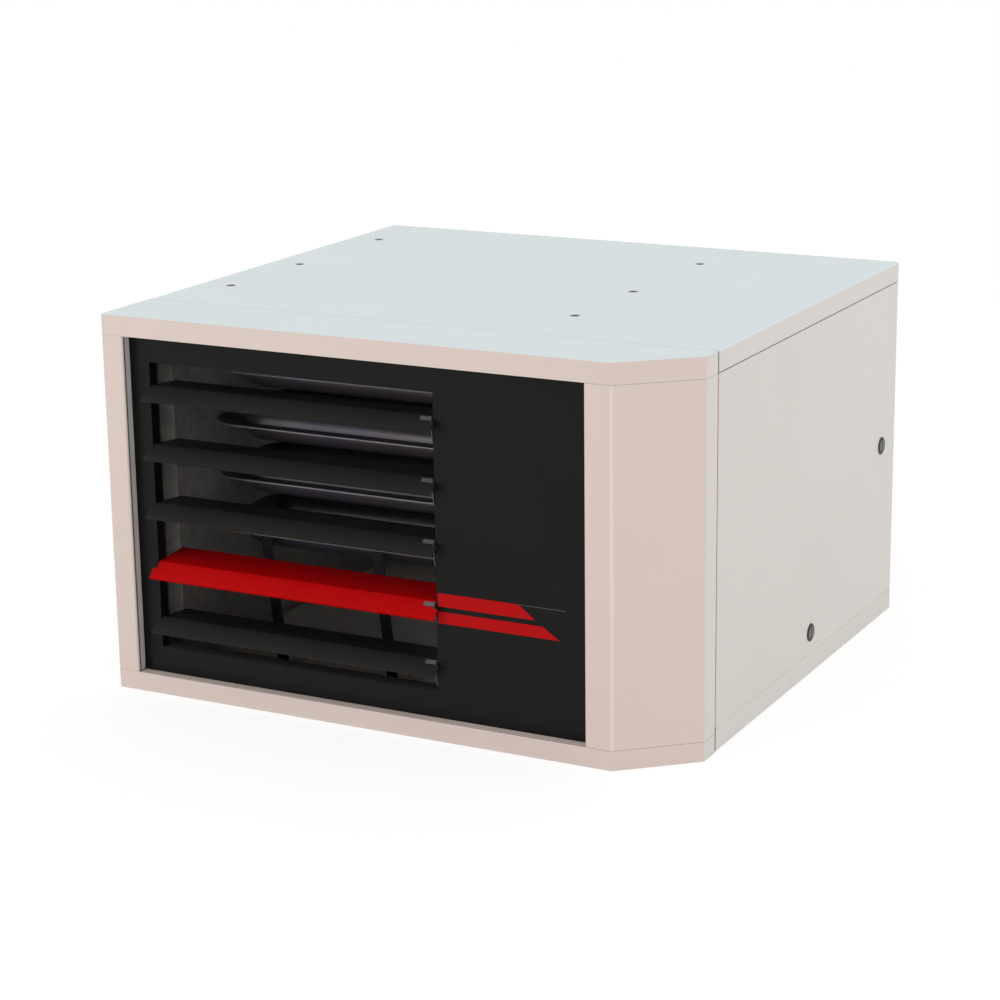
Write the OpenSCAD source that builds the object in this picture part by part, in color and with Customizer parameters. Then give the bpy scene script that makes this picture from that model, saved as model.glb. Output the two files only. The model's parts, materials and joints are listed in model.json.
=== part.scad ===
// Gas unit heater: a low cabinet that hangs from a ceiling. A fan at the rear blows
// air over four folded exchanger cells and out between adjustable louvers. Burners,
// gas valve, flue fan and controls sit in a bay behind the hinged service door.
// Places are measured from the cabinet's lower front left corner. The whole part is
// then moved so that its origin is the middle of the underside.

/* [Cabinet] */
// Width of the cabinet
cabinet_w = 690; // [670:5:760]
// Depth of the cabinet from the front face to the rear flanges
cabinet_d = 645; // [630:5:720]
// Height of the cabinet
cabinet_h = 430; // [426:1:480]
// Thickness of the cabinet's sheet steel
sheet = 1.2; // [1:0.1:1.4]
// Outer radius of the bends in the sheet
bend_r = 2.5; // [2:0.1:3.5]
// Height of the top panel's flanges
top_flange = 22.5; // [20:0.5:26]
// Height of the base pan's flanges
bottom_flange = 25.5; // [22:0.5:28]
// Open seam between neighbouring sheets
seam = 0.6; // [0.4:0.1:0.9]
// Height of the side panel's tongue behind each flange
tongue = 12; // [8:1:15]

/* [Front cover] */
// Depth of the front cover
cover_d = 94; // [90:0.5:105]
// Open joint between the front cover and the flanges and door behind it
cover_gap = 2.6; // [2:0.1:3]
// Gap between the front cover's posts and caps
cover_seam = 0.3; // [0.2:0.1:0.6]
// Width of the cut corner along the front
chamfer_x = 75; // [60:1:85]
// Depth of the cut corner along the side
chamfer_y = 66.5; // [50:0.5:80]
// Width of the frame left of the front opening
frame_left = 27.5; // [20:0.5:32]
// Width of the frame between the front opening and the cut corner
frame_right = 30.5; // [20:0.5:40]
// Height of the frame above the front opening
frame_top = 23; // [18:0.5:26]
// Height of the frame below the front opening
frame_bottom = 21.5; // [18:0.5:26]
// Depth of the black panel behind the front face
panel_recess = 13; // [10:0.5:16]
// Lap of the black panel behind the frame
panel_lap = 9; // [6:0.5:11]

/* [Louvers] */
// Black margin between the frame and the louver opening
louver_margin = 25; // [20:0.5:30]
// Black margin below the louver opening
louver_sill = 29.5; // [26:0.5:34]
// Height from the opening's lower edge to the lowest pivot
first_pivot = 27; // [25:0.5:30]
// Height from the highest pivot to the opening's upper edge
louver_head = 34; // [32:0.5:38]
// Black margin above the louver opening
louver_lintel = 29; // [26:0.5:34]
// Distance from the black panel's face back to the blade pivots
pivot_in = 7.8; // [7.5:0.1:8.2]
// Depth of the flange along the louver opening's lower edge
sill_d = 21; // [16:0.5:26]
// Thickness of a blade's sheet
blade_t = 1; // [0.8:0.1:1.2]
// Length of a blade's rear leaf
blade_rear = 46; // [42:0.5:48]
// Length of a blade's front leaf
blade_front = 22; // [20:0.5:23]
// Turn of the bend between the two leaves, in degrees
blade_bend = 45; // [42:1:47]
// Slope of the black blades' rear leaves, in degrees
blade_tilt = -5; // [-8:1:0]
// Slope of the red blade's rear leaf, in degrees
accent_tilt = 5; // [0:1:8]
// Length of the front leaf's narrow part, which passes between the side flanges
blade_neck = 9; // [9:0.5:10]
// How far the front leaf's wide part laps over each side of the opening
blade_flare = 4; // [2:0.5:6]
// Gap between a blade's end and the side flange
blade_gap = 1.5; // [1.2:0.1:2]
// Distance from a blade's ridge back to its pivot
pivot_back = 7; // [6.5:0.1:7.5]
// Distance from a blade's rear leaf down to its pivot
pivot_drop = 8; // [7.5:0.1:8.5]
// Radius of a blade's pivot pin
pivot_r = 2.5; // [2:0.1:3]
// Radial clearance of the pins that turn in holes
running = 0.05; // [0.03:0.01:0.08]

/* [Stripes] */
// Height of the upper stripe
stripe_upper_h = 14.8; // [12:0.2:16]
// Height of the lower stripe
stripe_lower_h = 13; // [10:0.2:14]
// Gap between the stripes
stripe_gap = 5.6; // [4:0.2:8]
// Length of the upper stripe's top edge
stripe_upper_l = 95; // [80:1:100]
// Length of the lower stripe's top edge
stripe_lower_l = 123; // [110:1:130]
// Reach of a stripe's slanted end
stripe_slant = 20; // [12:1:24]
// Height of the red blade's pivot above the stripes' lower edge
stripe_drop = 16.5; // [12:0.5:22]

/* [Heat exchanger] */
// Distance between neighbouring cells
cell_pitch = 62; // [58:1:64]
// Distance from the top of the cabinet down to the highest cell's middle
top_cell = 80; // [76:1:90]
// Distance from the front face to the cells
cell_front = 115; // [110:1:122]
// Distance from the side liner to the cells
cell_side = 23; // [18:1:30]
// Width of a cell's seam around its passes
cell_rim = 15; // [11:0.5:17]
// Thickness of a cell's seam
cell_seam = 2; // [1.6:0.2:2.6]
// Radius of a cell's two round passes
tube_r = 22; // [20:0.5:23]
// Width of a cell's two flat passes
flat_w = 48; // [44:1:50]
// Height of a cell's two flat passes
flat_h = 26; // [22:1:30]
// Distance between neighbouring passes
pass_pitch = 68; // [66:0.5:71]
// Wall of a cell
cell_wall = 1; // [0.8:0.1:1.2]
// Radius of a cell's rounded corners
cell_corner = 45; // [35:1:50]

/* [Air side] */
// Distance from the left side to the side liner
liner_x = 27; // [24:0.5:30]
// Distance from the front face to the side liner
liner_front = 62; // [62:0.5:66]
// Width of the side liner's front flange
liner_lip = 21.5; // [16:0.5:22]
// Distance from the louver opening to the partition
partition_gap = 7; // [5:0.5:10]
// Room between the fan's orifice ring and the walls beside it
fan_side = 20.75; // [15:0.25:40]
// Room between the fan's orifice ring and the base or the top
fan_head = 10; // [4:0.5:40]
// Running gap around the fan
fan_gap = 3.5; // [3:0.5:5]
// Radius of the fan's and inducer's shafts
shaft_r = 4; // [3.5:0.1:5]
// Pitch of the fan's blades, in degrees
fan_pitch = 24; // [18:1:26]
// Radius of the fan motor
motor_r = 46; // [40:1:50]
// Length of the fan motor
motor_l = 62; // [50:1:70]
// Distance of the wire guard behind the cabinet
guard_d = 24; // [20:1:30]
// Radius of the guard's wires
wire_r = 1.7; // [1.4:0.1:2]

/* [Flue] */
// Outer radius of the flue pipe
flue_r = 50.8; // [48:0.2:52]
// Length of the flue pipe behind the cabinet
flue_out = 40; // [30:1:60]
// Radius of the inducer wheel
wheel_r = 50; // [44:1:50]
// Width of the inducer housing
volute_w = 52; // [46:1:54]
// Smallest radius of the inducer housing
volute_in = 60; // [59:1:62]
// Largest radius of the inducer housing
volute_out = 98; // [92:1:99]

/* [Gas train] */
// Width of the bay for burners and controls, from the partition to the right side
bay_w = 277.5; // [270:0.5:290]
// Outer radius of the gas pipes
gas_r = 10.65; // [10:0.05:11]
// Length of the gas pipe behind the cabinet
gas_out = 25; // [20:1:40]
// Length of the thread at the end of the gas pipe
gas_thread_l = 19; // [15:0.5:20]
// Depth of the thread below the pipe's outside
gas_thread_cut = 0.2; // [0.1:0.05:0.4]
// Height of the gas pipe
gas_z = 80; // [74:1:84]
// Length of a burner
burner_l = 118; // [110:1:122]
// Radius of a burner's flame end
burner_r = 17; // [15:0.5:18]

/* [Service door] */
// Gap between the door and the flanges around it
door_gap = 1.2; // [1:0.1:1.6]
// Width of the door's inward edges
door_return = 14; // [12:0.5:15]
// Distance from the door's outer face to its hinge axis
hinge_in = 6; // [5.8:0.1:6.5]
// Radius of the hinge pins
hinge_r = 3; // [2.5:0.1:3.2]
// Radius of a quarter-turn fastener's head
fastener_r = 7.5; // [6.5:0.1:8]
// Width of the dark ring around a fastener
bezel_w = 3; // [2:0.1:4]
// Distance from the rear to the fastener at mid height
fastener_rear_in = 48; // [44:1:52]
// Height of the fastener along the lower edge
fastener_low_z = 50.5; // [49:0.5:54]

/* [Hanging] */
// Diameter of the hanger holes
hanger_d = 11.5; // [9:0.5:13]
// Gap between the left row's nuts and the side liner
hanger_gap = 0.8; // [0.5:0.1:4]
// Distance from the partition to the right row of hanger holes
hanger_bay = 66.5; // [50:0.5:80]
// Distance from the front face to the first hanger holes
hanger_front = 200; // [190:1:210]
// Distance from the first to the middle hanger holes
hanger_mid = 150; // [140:1:160]
// Distance from the rear to the last hanger holes
hanger_rear = 105; // [100:1:120]
// Width of a hanger nut across its flats
nut_flats = 19; // [17:0.5:22]
// Height of a hanger nut
nut_h = 10; // [8:0.5:12]

/* [Hidden] */

// Overrun of a cut past the face that it opens
over = 1;
// Play of a fixed piece in its hole
play = 0.3;
// Steps of a rounded bend
bend_steps = 4;
// Sides of an oval pass
oval_sides = 24;
// Round shapes
$fn = 48;

// The front opening and what lies behind it
open_x = [frame_left, cabinet_w - chamfer_x - frame_right];
open_z = [frame_bottom, cabinet_h - frame_top];
partition_x = cabinet_w - bay_w;
bay_x = partition_x + sheet;
panel_y = [panel_recess, panel_recess + sheet];
blade_count = 5;
lower_blade_count = 1;
louver_x = [open_x[0] + louver_margin, partition_x - partition_gap];
louver_w = louver_x[1] - louver_x[0];
louver_z = [open_z[0] + louver_sill, open_z[1] - louver_lintel];
blade_pitch = (louver_z[1] - louver_z[0] - first_pivot - louver_head) / (blade_count - 1);
pivot_y = panel_recess + pivot_in;
return_d = pivot_in + 2 * pivot_r;
pivot_z = [for (i = [0 : blade_count - 1]) louver_z[0] + first_pivot + i * blade_pitch];
hem = 3;
ear_r = 5.5;
pin_proud = 1.5;

// Inside walls and the rear
body_y = cover_d + seam;
flange_y = cover_d + cover_gap;
rear_y = [cabinet_d - 2 * sheet, cabinet_d - sheet];
top_z = cabinet_h - sheet;
// Clear of the bends and the side panel's tongues in the cabinet's corners
corner_in = max(bend_r, 2 * sheet);
wall_lip = 12;
jamb_in = 17;
jamb_d = 34;
jamb_x = cabinet_w - jamb_in;

// Cells: the round passes are at the front, the flat ones behind them
cell_x0 = liner_x + cell_side;
pass_y = [for (i = [0 : 3]) cell_front + cell_rim + tube_r + i * pass_pitch];
cell_y1 = pass_y[3] + flat_w / 2 + cell_rim;
turn_left = cell_x0 + cell_rim + tube_r + pass_pitch / 2;
turn_right = partition_x - cell_rim - flat_w / 2 - pass_pitch / 2;
cell_z = [for (i = [0 : 3]) cabinet_h - top_cell - (3 - i) * cell_pitch];
cell_mid = (cell_z[0] + cell_z[3]) / 2;
stub = 2;

// Fan
fan_x = (liner_x + partition_x) / 2;
fan_z = cabinet_h / 2;
bell = 10;
bell_flange = 14;
orifice_r = min((partition_x - liner_x) / 2 - fan_side, cabinet_h / 2 - fan_head) - bell - bell_flange;
fan_r = orifice_r - fan_gap;
throat_d = 28;
orifice_y = rear_y[0] - sheet;
fan_y = orifice_y - throat_d;
fan_chord = 96;
fan_camber = 8;
fan_hub_r = 13;
fan_hub_l = 26;
spider_r = 36;
spider_t = 3;
fan_sheet = 1.6;
motor_out = 2;
motor_y = cabinet_d + motor_out;
guard_y = cabinet_d + guard_d;
guard_lap = 5;
guard_r = orifice_r + bell + guard_lap;
grip_w = 14;
guard_in = motor_r + grip_w;
guard_rings = 10;
guard_spokes = 8;

// Inducer
duct_l = 18;
duct_y = pass_y[3] + volute_out + duct_l;
duct_r = flue_r - sheet;
collector_d = 40;
collector_x = bay_x + collector_d;
collector_play = 5;
volute_x = collector_x;
volute_wall = 1.5;
inlet_r = 28;
cut_angle = 30;
flue_x = volute_x + volute_w / 2;
flue_z = cell_mid + (volute_in * cos(cut_angle) + volute_out) / 2;
duct_h = volute_out - volute_in * cos(cut_angle);
inducer_post_l = 7;
inducer_motor_x = volute_x + volute_w + inducer_post_l;
inducer_motor_l = 52;
inducer_motor_r = 35;

// Gas train
flame_gap = 14;
burner_x = bay_x + flame_gap;
burner_y = pass_y[0];
throat_r = 10;
bell_r = 19;
web_share = 0.64;
web_x = burner_x + burner_l * web_share;
box_d = 68;
spud_gap = 20;
spud_l = 16;
spud_r = 6;
manifold_x = burner_x + burner_l + spud_gap + spud_l;
valve_in = 48;
valve_l = 84;
valve_y = [burner_y + valve_in, burner_y + valve_in + valve_l];
valve_r = 28;
gas_wall = 2.6;
thread_edge = 1;

// Door and hinges
door_y = [flange_y, cabinet_d];
door_z = [bottom_flange + door_gap, cabinet_h - top_flange - door_gap];
hinge_x = cabinet_w - hinge_in;
hinge_back = 5.2;
hinge_y = door_y[0] + hinge_back;
hinge_gap = 1;
bracket_t = 3;
bracket_l = 15;
pin_reach = 8;
fastener_mid = [door_y[1] - fastener_rear_in, (door_z[0] + door_z[1]) / 2];
fastener_low_at = [(door_y[0] + door_y[1]) / 2, fastener_low_z];
shank_r = 4;
head_t = 1.4;
cam_t = 2;
cam_w = 9;
cam_l = 27;
cam_gap = 1;
cam_x = jamb_x - sheet - cam_gap - cam_t;
slot_w = 1.6;

// Hanger holes
nut_r = nut_flats / sqrt(3);
hanger_x = [liner_x + sheet + nut_r + hanger_gap, partition_x + hanger_bay];
hanger_y = [hanger_front, hanger_front + hanger_mid, cabinet_d - hanger_rear];

// Controls
plate_gap = 12;
plate_x = flue_x + flue_r + plate_gap;
plate_shares = [0.73, 0.98];
plate_y = plate_shares * cabinet_d;
plate_drop = 10;
plate_top = flue_z - flue_r - plate_drop;
board_off = 6;
board_t = 1.6;
switch_drop = 12;
switch_z = door_z[1] - switch_drop;
switch_in = 36;
switch_y = door_y[0] + switch_in;
plunger_r = 3;
plunger_travel = 4;
bushing_r = 9.5;
bushing_in = 69;
bushing_x = cabinet_w - bushing_in;
bushing_share = 0.62;
bushing_z = cabinet_h * bushing_share;

// Colours
beige = [0.84, 0.78, 0.74];
black = [0.12, 0.12, 0.11];
red = [0.65, 0.05, 0.06];
zinc = [0.68, 0.69, 0.7];
steel = [0.42, 0.42, 0.46];
brass = [0.72, 0.58, 0.3];

// The part's origin is the middle of the underside
module in_cabinet() { translate([-cabinet_w / 2, -cabinet_d / 2, 0]) children(); }

// Block between two places on each axis
module span(x, y, z) {
    translate([x[0], y[0], z[0]]) cube([x[1] - x[0], y[1] - y[0], z[1] - z[0]]);
}

// Extrusions along the three axes; the outline's own x and y are the other two axes in order
module along_x(x, l) { translate([x, 0, 0]) rotate([90, 0, 90]) linear_extrude(l) children(); }
module along_y(y, l) { translate([0, y + l, 0]) rotate([90, 0, 0]) linear_extrude(l) children(); }
module along_z(z, l) { translate([0, 0, z]) linear_extrude(l) children(); }

// Round bar along one axis, starting at a place
module bar_x(p, r, l) { translate(p) rotate([0, 90, 0]) cylinder(r = r, h = l); }
module bar_y(p, r, l) { translate(p) rotate([-90, 0, 0]) cylinder(r = r, h = l); }
module bar_z(p, r, l) { translate(p) cylinder(r = r, h = l); }

// Revolved shape around an axis along X or Y; the outline is (radius, distance)
module around_x(p) { translate(p) rotate([0, 90, 0]) rotate_extrude() children(); }
module around_y(p) { translate(p) rotate([-90, 0, 0]) rotate_extrude() children(); }

// A bent sheet seen on edge: the path is its outer line, and the sheet lies to its left
function unit(v) = v / norm(v);
function turned(v) = [-v.y, v.x];
function turn_at(a, b, c) =
    let (u = unit(b - a), v = unit(c - b)) atan2(u.x * v.y - u.y * v.x, u * v);
function spun(v, a) = [v.x * cos(a) - v.y * sin(a), v.x * sin(a) + v.y * cos(a)];
function bend(a, b, c, r) =
    let (u = unit(b - a), t = turn_at(a, b, c), s = sign(t), start = b - u * r * tan(abs(t) / 2),
        centre = start + turned(u) * r * s)
    [for (i = [0 : bend_steps]) centre + spun(start - centre, t * i / bend_steps)];
function rounded(path, r) = [
    path[0],
    for (i = [1 : len(path) - 2]) each bend(path[i - 1], path[i], path[i + 1], r),
    path[len(path) - 1]
];
function side_of(path, i) =
    let (n = len(path) - 1, a = turned(unit(path[min(i + 1, n)] - path[min(i, n - 1)])),
        b = turned(unit(path[max(i, 1)] - path[max(i, 1) - 1])), m = unit(a + b))
    m / (m * a);
function ribbon(path, t) = concat(path,
    [for (i = [len(path) - 1 : -1 : 0]) path[i] + side_of(path, i) * t]);
module bent(path, t = sheet, r = bend_r) { polygon(ribbon(rounded(path, r), t)); }

// Oval outline
function oval(w, h) = [for (i = [0 : oval_sides - 1])
    [w / 2 * cos(360 * i / oval_sides), h / 2 * sin(360 * i / oval_sides)]];

// Outer line of the front cover, from the left side round to the right side
cover_path = [[0, cover_d], [0, 0], [cabinet_w - chamfer_x, 0], [cabinet_w, chamfer_y],
    [cabinet_w, cover_d]];

// Notches at the front of the flanges, so that the joint behind the cover stays open
module joint_notches(z) {
    for (x = [[-over, corner_in], [cabinet_w - corner_in, cabinet_w + over]])
        span(x, [body_y - over, flange_y], z);
}

module base_pan() {
    color(beige) in_cabinet() {
        difference() {
            along_y(body_y, cabinet_d - body_y - sheet)
                bent([[0, bottom_flange], [0, 0], [cabinet_w, 0], [cabinet_w, bottom_flange]]);
            joint_notches([-over, bottom_flange + over]);
        }
        span([bend_r, cabinet_w - bend_r], [rear_y[1], cabinet_d], [0, bottom_flange]);
        // Keeper for the fastener along the door's lower edge
        along_y(fastener_low_at[0] - cam_l / 2, cam_l)
            bent([[jamb_x, fastener_low_z - cam_w], [jamb_x, sheet],
                [jamb_x - cam_l, sheet]], sheet, sheet * 1.5);
    }
}

module hanger_holes(z, l) {
    for (x = hanger_x, y = hanger_y) bar_z([x, y, z], hanger_d / 2, l);
}

module top_panel() {
    color(beige) in_cabinet() difference() {
        union() {
            along_y(body_y, cabinet_d - body_y - sheet)
                bent([[cabinet_w, cabinet_h - top_flange], [cabinet_w, cabinet_h],
                    [0, cabinet_h], [0, cabinet_h - top_flange]]);
            span([bend_r, cabinet_w - bend_r], [rear_y[1], cabinet_d],
                [cabinet_h - top_flange, cabinet_h]);
        }
        hanger_holes(top_z - over, sheet + 2 * over);
        joint_notches([cabinet_h - top_flange - over, cabinet_h + over]);
    }
}

module hanger_nuts() {
    color(zinc) in_cabinet()
        for (x = hanger_x, y = hanger_y)
            translate([x, y, top_z - nut_h]) difference() {
                cylinder(r = nut_r, h = nut_h, $fn = 6);
                translate([0, 0, -over]) cylinder(r = hanger_d / 2, h = nut_h + 2 * over);
            }
}

module left_side_panel() {
    lower = bottom_flange + seam;
    upper = cabinet_h - top_flange - seam;
    color(beige) in_cabinet() difference() {
        along_y(flange_y, rear_y[1] - flange_y)
            polygon(ribbon([[sheet, upper + tongue], [sheet, upper], [0, upper - sheet],
                [0, lower + sheet], [sheet, lower], [sheet, lower - tongue]], sheet));
        span([sheet, 3 * sheet], [rear_y[0] - seam, cabinet_d], [0, cabinet_h]);
    }
}

module rear_panel() {
    color(beige) in_cabinet() difference() {
        along_z(sheet, top_z - sheet)
            bent([[jamb_x, rear_y[1] - jamb_d], [jamb_x, rear_y[1]], [sheet, rear_y[1]]]);
        bar_y([fan_x, rear_y[0] - over, fan_z], orifice_r + bell, sheet + 2 * over);
        bar_y([flue_x, rear_y[0] - over, flue_z], duct_r + play, sheet + 2 * over);
        bar_y([manifold_x, rear_y[0] - over, gas_z], gas_r + play, sheet + 2 * over);
        bar_y([bushing_x, rear_y[0] - over, bushing_z], bushing_r + 2 * sheet, sheet + 2 * over);
        // Slots that let combustion air into the bay
        for (i = [0 : slot_count - 1])
            translate([0, 0, cabinet_h * slot_share + i * slot_pitch]) air_slot();
    }
}
slot_share = 0.3;
slot_count = 6;
slot_pitch = 14;
slot_h = 4;
slot_l = 60;
slot_in = 18;

// Slot with round ends through the rear panel
module air_slot() {
    x = [bushing_x - slot_in - slot_l, bushing_x - slot_in];
    for (e = x) bar_y([e, rear_y[0] - over, 0], slot_h / 2, sheet + 2 * over);
    span(x, [rear_y[0] - over, rear_y[1] + over], [-slot_h / 2, slot_h / 2]);
}

module partition_wall() {
    y = [panel_y[1], rear_y[0]];
    color(zinc) in_cabinet() difference() {
        along_z(sheet, top_z - sheet)
            bent([[partition_x + wall_lip, y[1]], [partition_x, y[1]], [partition_x, y[0]],
                [partition_x + wall_lip, y[0]]]);
        for (z = cell_z) {
            bar_x([partition_x - over, pass_y[0], z], tube_r + play, sheet + 2 * over);
            translate([0, pass_y[3], z]) along_x(partition_x - over, sheet + 2 * over)
                polygon(oval(flat_w + 2 * play, flat_h + 2 * play));
        }
    }
}

module side_liner() {
    color(zinc) in_cabinet() along_z(sheet, top_z - sheet)
        bent([[corner_in, fan_y - throat_d], [liner_x, fan_y - throat_d], [liner_x, liner_front],
            [liner_x + liner_lip, liner_front]]);
}

// Cap of the front cover: a flat plate with a skirt, and a lip along the front opening
module front_cap(plate_z, skirt, lip_z) {
    along_z(plate_z, sheet) polygon(rounded(cover_path, bend_r));
    along_z(skirt[0], skirt[1] - skirt[0]) bent(cover_path);
    span([open_x[0] + seam, open_x[1] - seam], [sheet / 2, panel_recess], [lip_z, lip_z + sheet]);
}

module front_top_cap() {
    color(beige) in_cabinet() front_cap(top_z, [open_z[1], cabinet_h], open_z[1]);
}

module front_bottom_cap() {
    color(beige) in_cabinet() front_cap(0, [0, open_z[0]], open_z[0] - sheet);
}

module front_left_post() {
    color(beige) in_cabinet() along_z(open_z[0] + cover_seam, open_z[1] - open_z[0] - 2 * cover_seam)
        bent([[0, cover_d], [0, 0], [open_x[0], 0], [open_x[0], panel_recess]]);
}

module front_corner_post() {
    color(beige) in_cabinet() along_z(open_z[0] + cover_seam, open_z[1] - open_z[0] - 2 * cover_seam)
        bent([[open_x[1], panel_recess], [open_x[1], 0], [cabinet_w - chamfer_x, 0],
            [cabinet_w, chamfer_y], [cabinet_w, cover_d]]);
}

module louver_panel() {
    color(black) in_cabinet() difference() {
        union() {
            difference() {
                span([open_x[0] - panel_lap, open_x[1] + panel_lap], panel_y,
                    [open_z[0] - panel_lap, open_z[1] + panel_lap]);
                span(louver_x, [0, cover_d], louver_z);
            }
            // Flanges around the louver opening
            for (x = [louver_x[0] - sheet, louver_x[1]])
                span([x, x + sheet], [panel_y[0], panel_y[0] + return_d],
                    [louver_z[0] - sheet, louver_z[1] + sheet]);
            span([louver_x[0] - sheet, louver_x[1] + sheet], [panel_y[0], panel_y[0] + return_d],
                [louver_z[1], louver_z[1] + sheet]);
            span([louver_x[0] - sheet, louver_x[1] + sheet], [panel_y[0], panel_y[0] + sill_d],
                [louver_z[0] - sheet, louver_z[0]]);
        }
        for (z = pivot_z)
            bar_x([louver_x[0] - sheet - over, pivot_y, z], pivot_r + running,
                louver_w + 2 * (sheet + over));
    }
}

// One stripe of thin film: its right end is slanted
module stripe(x, z, l, h) {
    along_y(panel_recess - film, film)
        polygon([[x, z], [x, z + h], [x + l, z + h], [x + l + stripe_slant, z]]);
}
film = 0.3;

module accent_stripes() {
    x = louver_x[1] + sheet * 1.5;
    z = pivot_z[lower_blade_count] - stripe_drop;
    color(red) in_cabinet() {
        stripe(x, z, stripe_lower_l, stripe_lower_h);
        stripe(x, z + stripe_lower_h + stripe_gap, stripe_upper_l, stripe_upper_h);
    }
}

// Places on a blade's section, as (back, up) from its pivot before it is tilted
ridge = [-pivot_back, pivot_drop];
front_dir = [-cos(blade_bend), -sin(blade_bend)];
neck_end = ridge + front_dir * blade_neck;
front_end = ridge + front_dir * blade_front;
hem_end = front_end + [sin(blade_bend), -cos(blade_bend)] * hem;
rear_end = ridge + [blade_rear, 0];

// Puts a section drawn around the pivot at a blade's place and tilt
module at_pivot(i) {
    tilt = i == lower_blade_count ? accent_tilt : blade_tilt;
    translate([0, pivot_y, pivot_z[i]]) rotate([tilt, 0, 0]) children();
}

// A blade: a rear leaf, a narrow neck between the side flanges, and a wide front leaf
module louver(i) {
    x = [louver_x[0] + blade_gap, louver_x[1] - blade_gap];
    wide = [louver_x[0] - blade_flare, louver_x[1] + blade_flare];
    color(i == lower_blade_count ? red : black) in_cabinet() at_pivot(i) {
        along_x(x[0], x[1] - x[0])
            bent([rear_end, ridge, front_end], blade_t, blade_t * 1.5);
        along_x(wide[0], wide[1] - wide[0])
            bent([neck_end, front_end, hem_end], blade_t, blade_t * 1.2);
        // Ear and pin at the left end
        along_x(x[0], blade_t) {
            circle(r = ear_r);
            translate([-ear_r, 0]) square([2 * ear_r, pivot_drop - blade_t / 2]);
        }
        bar_x([louver_x[0] - sheet - pin_proud, 0, 0], pivot_r, sheet + pin_proud + blade_gap + blade_t);
    }
}
clip_t = 0.8;
clip_tab_w = 12;
clip_leg = 22;

// Bright clip at a blade's right end: a tab on the front leaf, a cheek with the pivot pin,
// and a leg to turn the blade by
module louver_clip(i) {
    x = louver_x[1] - blade_gap;
    tab = [ridge + front_dir * blade_t * 2, ridge + front_dir * (blade_neck - 2 * blade_t)];
    color(zinc) in_cabinet() at_pivot(i) {
        along_x(x, clip_t) {
            circle(r = ear_r);
            polygon([tab[0], tab[1], [-ear_r, -clip_leg], [0, -clip_leg], [ear_r, 0], [0, ear_r]]);
        }
        bar_x([x, 0, 0], pivot_r, blade_gap + sheet + pin_proud);
        along_x(x - clip_tab_w, clip_tab_w + clip_t) polygon(ribbon(tab, -clip_t));
    }
}

// One cell: two pressed halves that meet in a flat seam, with a folded passage between
module cell_passage(inset) {
    r = tube_r - inset;
    flat = oval(flat_w - 2 * inset, flat_h - 2 * inset);
    middle = oval((flat_w + 2 * tube_r) / 2 - 2 * inset, (flat_h + 2 * tube_r) / 2 - 2 * inset);
    l = partition_x + sheet + stub + (inset > 0 ? over : 0);
    translate([0, pass_y[0], 0]) along_x(turn_left, l - turn_left) circle(r = r);
    translate([turn_left, (pass_y[0] + pass_y[1]) / 2, 0]) rotate([0, 0, 90])
        rotate_extrude(angle = 180) translate([pass_pitch / 2, 0]) circle(r = r);
    translate([0, pass_y[1], 0]) along_x(turn_left, turn_right - turn_left) circle(r = r);
    translate([turn_right, (pass_y[1] + pass_y[2]) / 2, 0]) rotate([0, 0, -90])
        rotate_extrude(angle = 180) translate([pass_pitch / 2, 0]) polygon(middle);
    translate([0, pass_y[2], 0]) along_x(turn_left, turn_right - turn_left) polygon(flat);
    translate([turn_left, (pass_y[2] + pass_y[3]) / 2, 0]) rotate([0, 0, 90])
        rotate_extrude(angle = 180) translate([pass_pitch / 2, 0]) polygon(flat);
    translate([0, pass_y[3], 0]) along_x(turn_left, l - turn_left) polygon(flat);
}

module exchanger_cell(i) {
    color(steel) in_cabinet() translate([0, 0, cell_z[i]]) difference() {
        union() {
            along_z(-cell_seam / 2, cell_seam) polygon(concat(
                [[partition_x, cell_y1], [partition_x, cell_front]],
                [for (a = [270 : -10 : 180]) [cell_x0 + cell_corner, cell_front + cell_corner]
                    + cell_corner * [cos(a), sin(a)]],
                [for (a = [180 : -10 : 90]) [cell_x0 + cell_corner, cell_y1 - cell_corner]
                    + cell_corner * [cos(a), sin(a)]]));
            cell_passage(0);
        }
        cell_passage(cell_wall);
    }
}
strut_w = 14;
strut_lean = 28;
strut_shares = [0.2, 0.6];

// Leaning brackets between the base pan and the lowest cell
module exchanger_struts() {
    foot = cell_front + strut_lean;
    top = cell_z[0] - cell_seam / 2;
    color(zinc) in_cabinet() for (s = strut_shares)
        along_x(cell_x0 + (partition_x - cell_x0) * s, strut_w)
            bent([[foot + wall_lip, sheet], [foot, sheet], [cell_front, top],
                [cell_front + wall_lip, top]], -sheet, sheet * 1.5);
}

// Sheet shield around the burners; its web holds them in line
module burner_box() {
    y = [burner_y - box_d / 2, burner_y + box_d / 2];
    z = [cell_z[0] - cell_pitch / 2, cell_z[3] + cell_pitch / 2];
    color(zinc) in_cabinet() difference() {
        along_z(z[0], z[1] - z[0])
            bent([[bay_x, y[0]], [web_x, y[0]], [web_x, y[1]], [bay_x, y[1]]]);
        for (h = cell_z) bar_x([web_x - sheet - over, burner_y, h], throat_r + play, sheet + 2 * over);
    }
}

// A burner's section: shares of its radius and of its length from the flame end
burner_shares = [[1, 0], [1, 0.26], [0.8, 0.42], [throat_r / burner_r, 0.58],
    [throat_r / burner_r, 0.7], [0.85, 0.92], [bell_r / burner_r, 1]];
module burners() {
    outer = [for (p = burner_shares) [p.x * burner_r, p.y * burner_l]];
    inner = [for (i = [len(outer) - 1 : -1 : 0]) outer[i] - [sheet, 0]];
    color(zinc) in_cabinet() for (z = cell_z)
        around_x([burner_x, burner_y, z]) polygon(concat(outer, inner));
}

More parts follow.
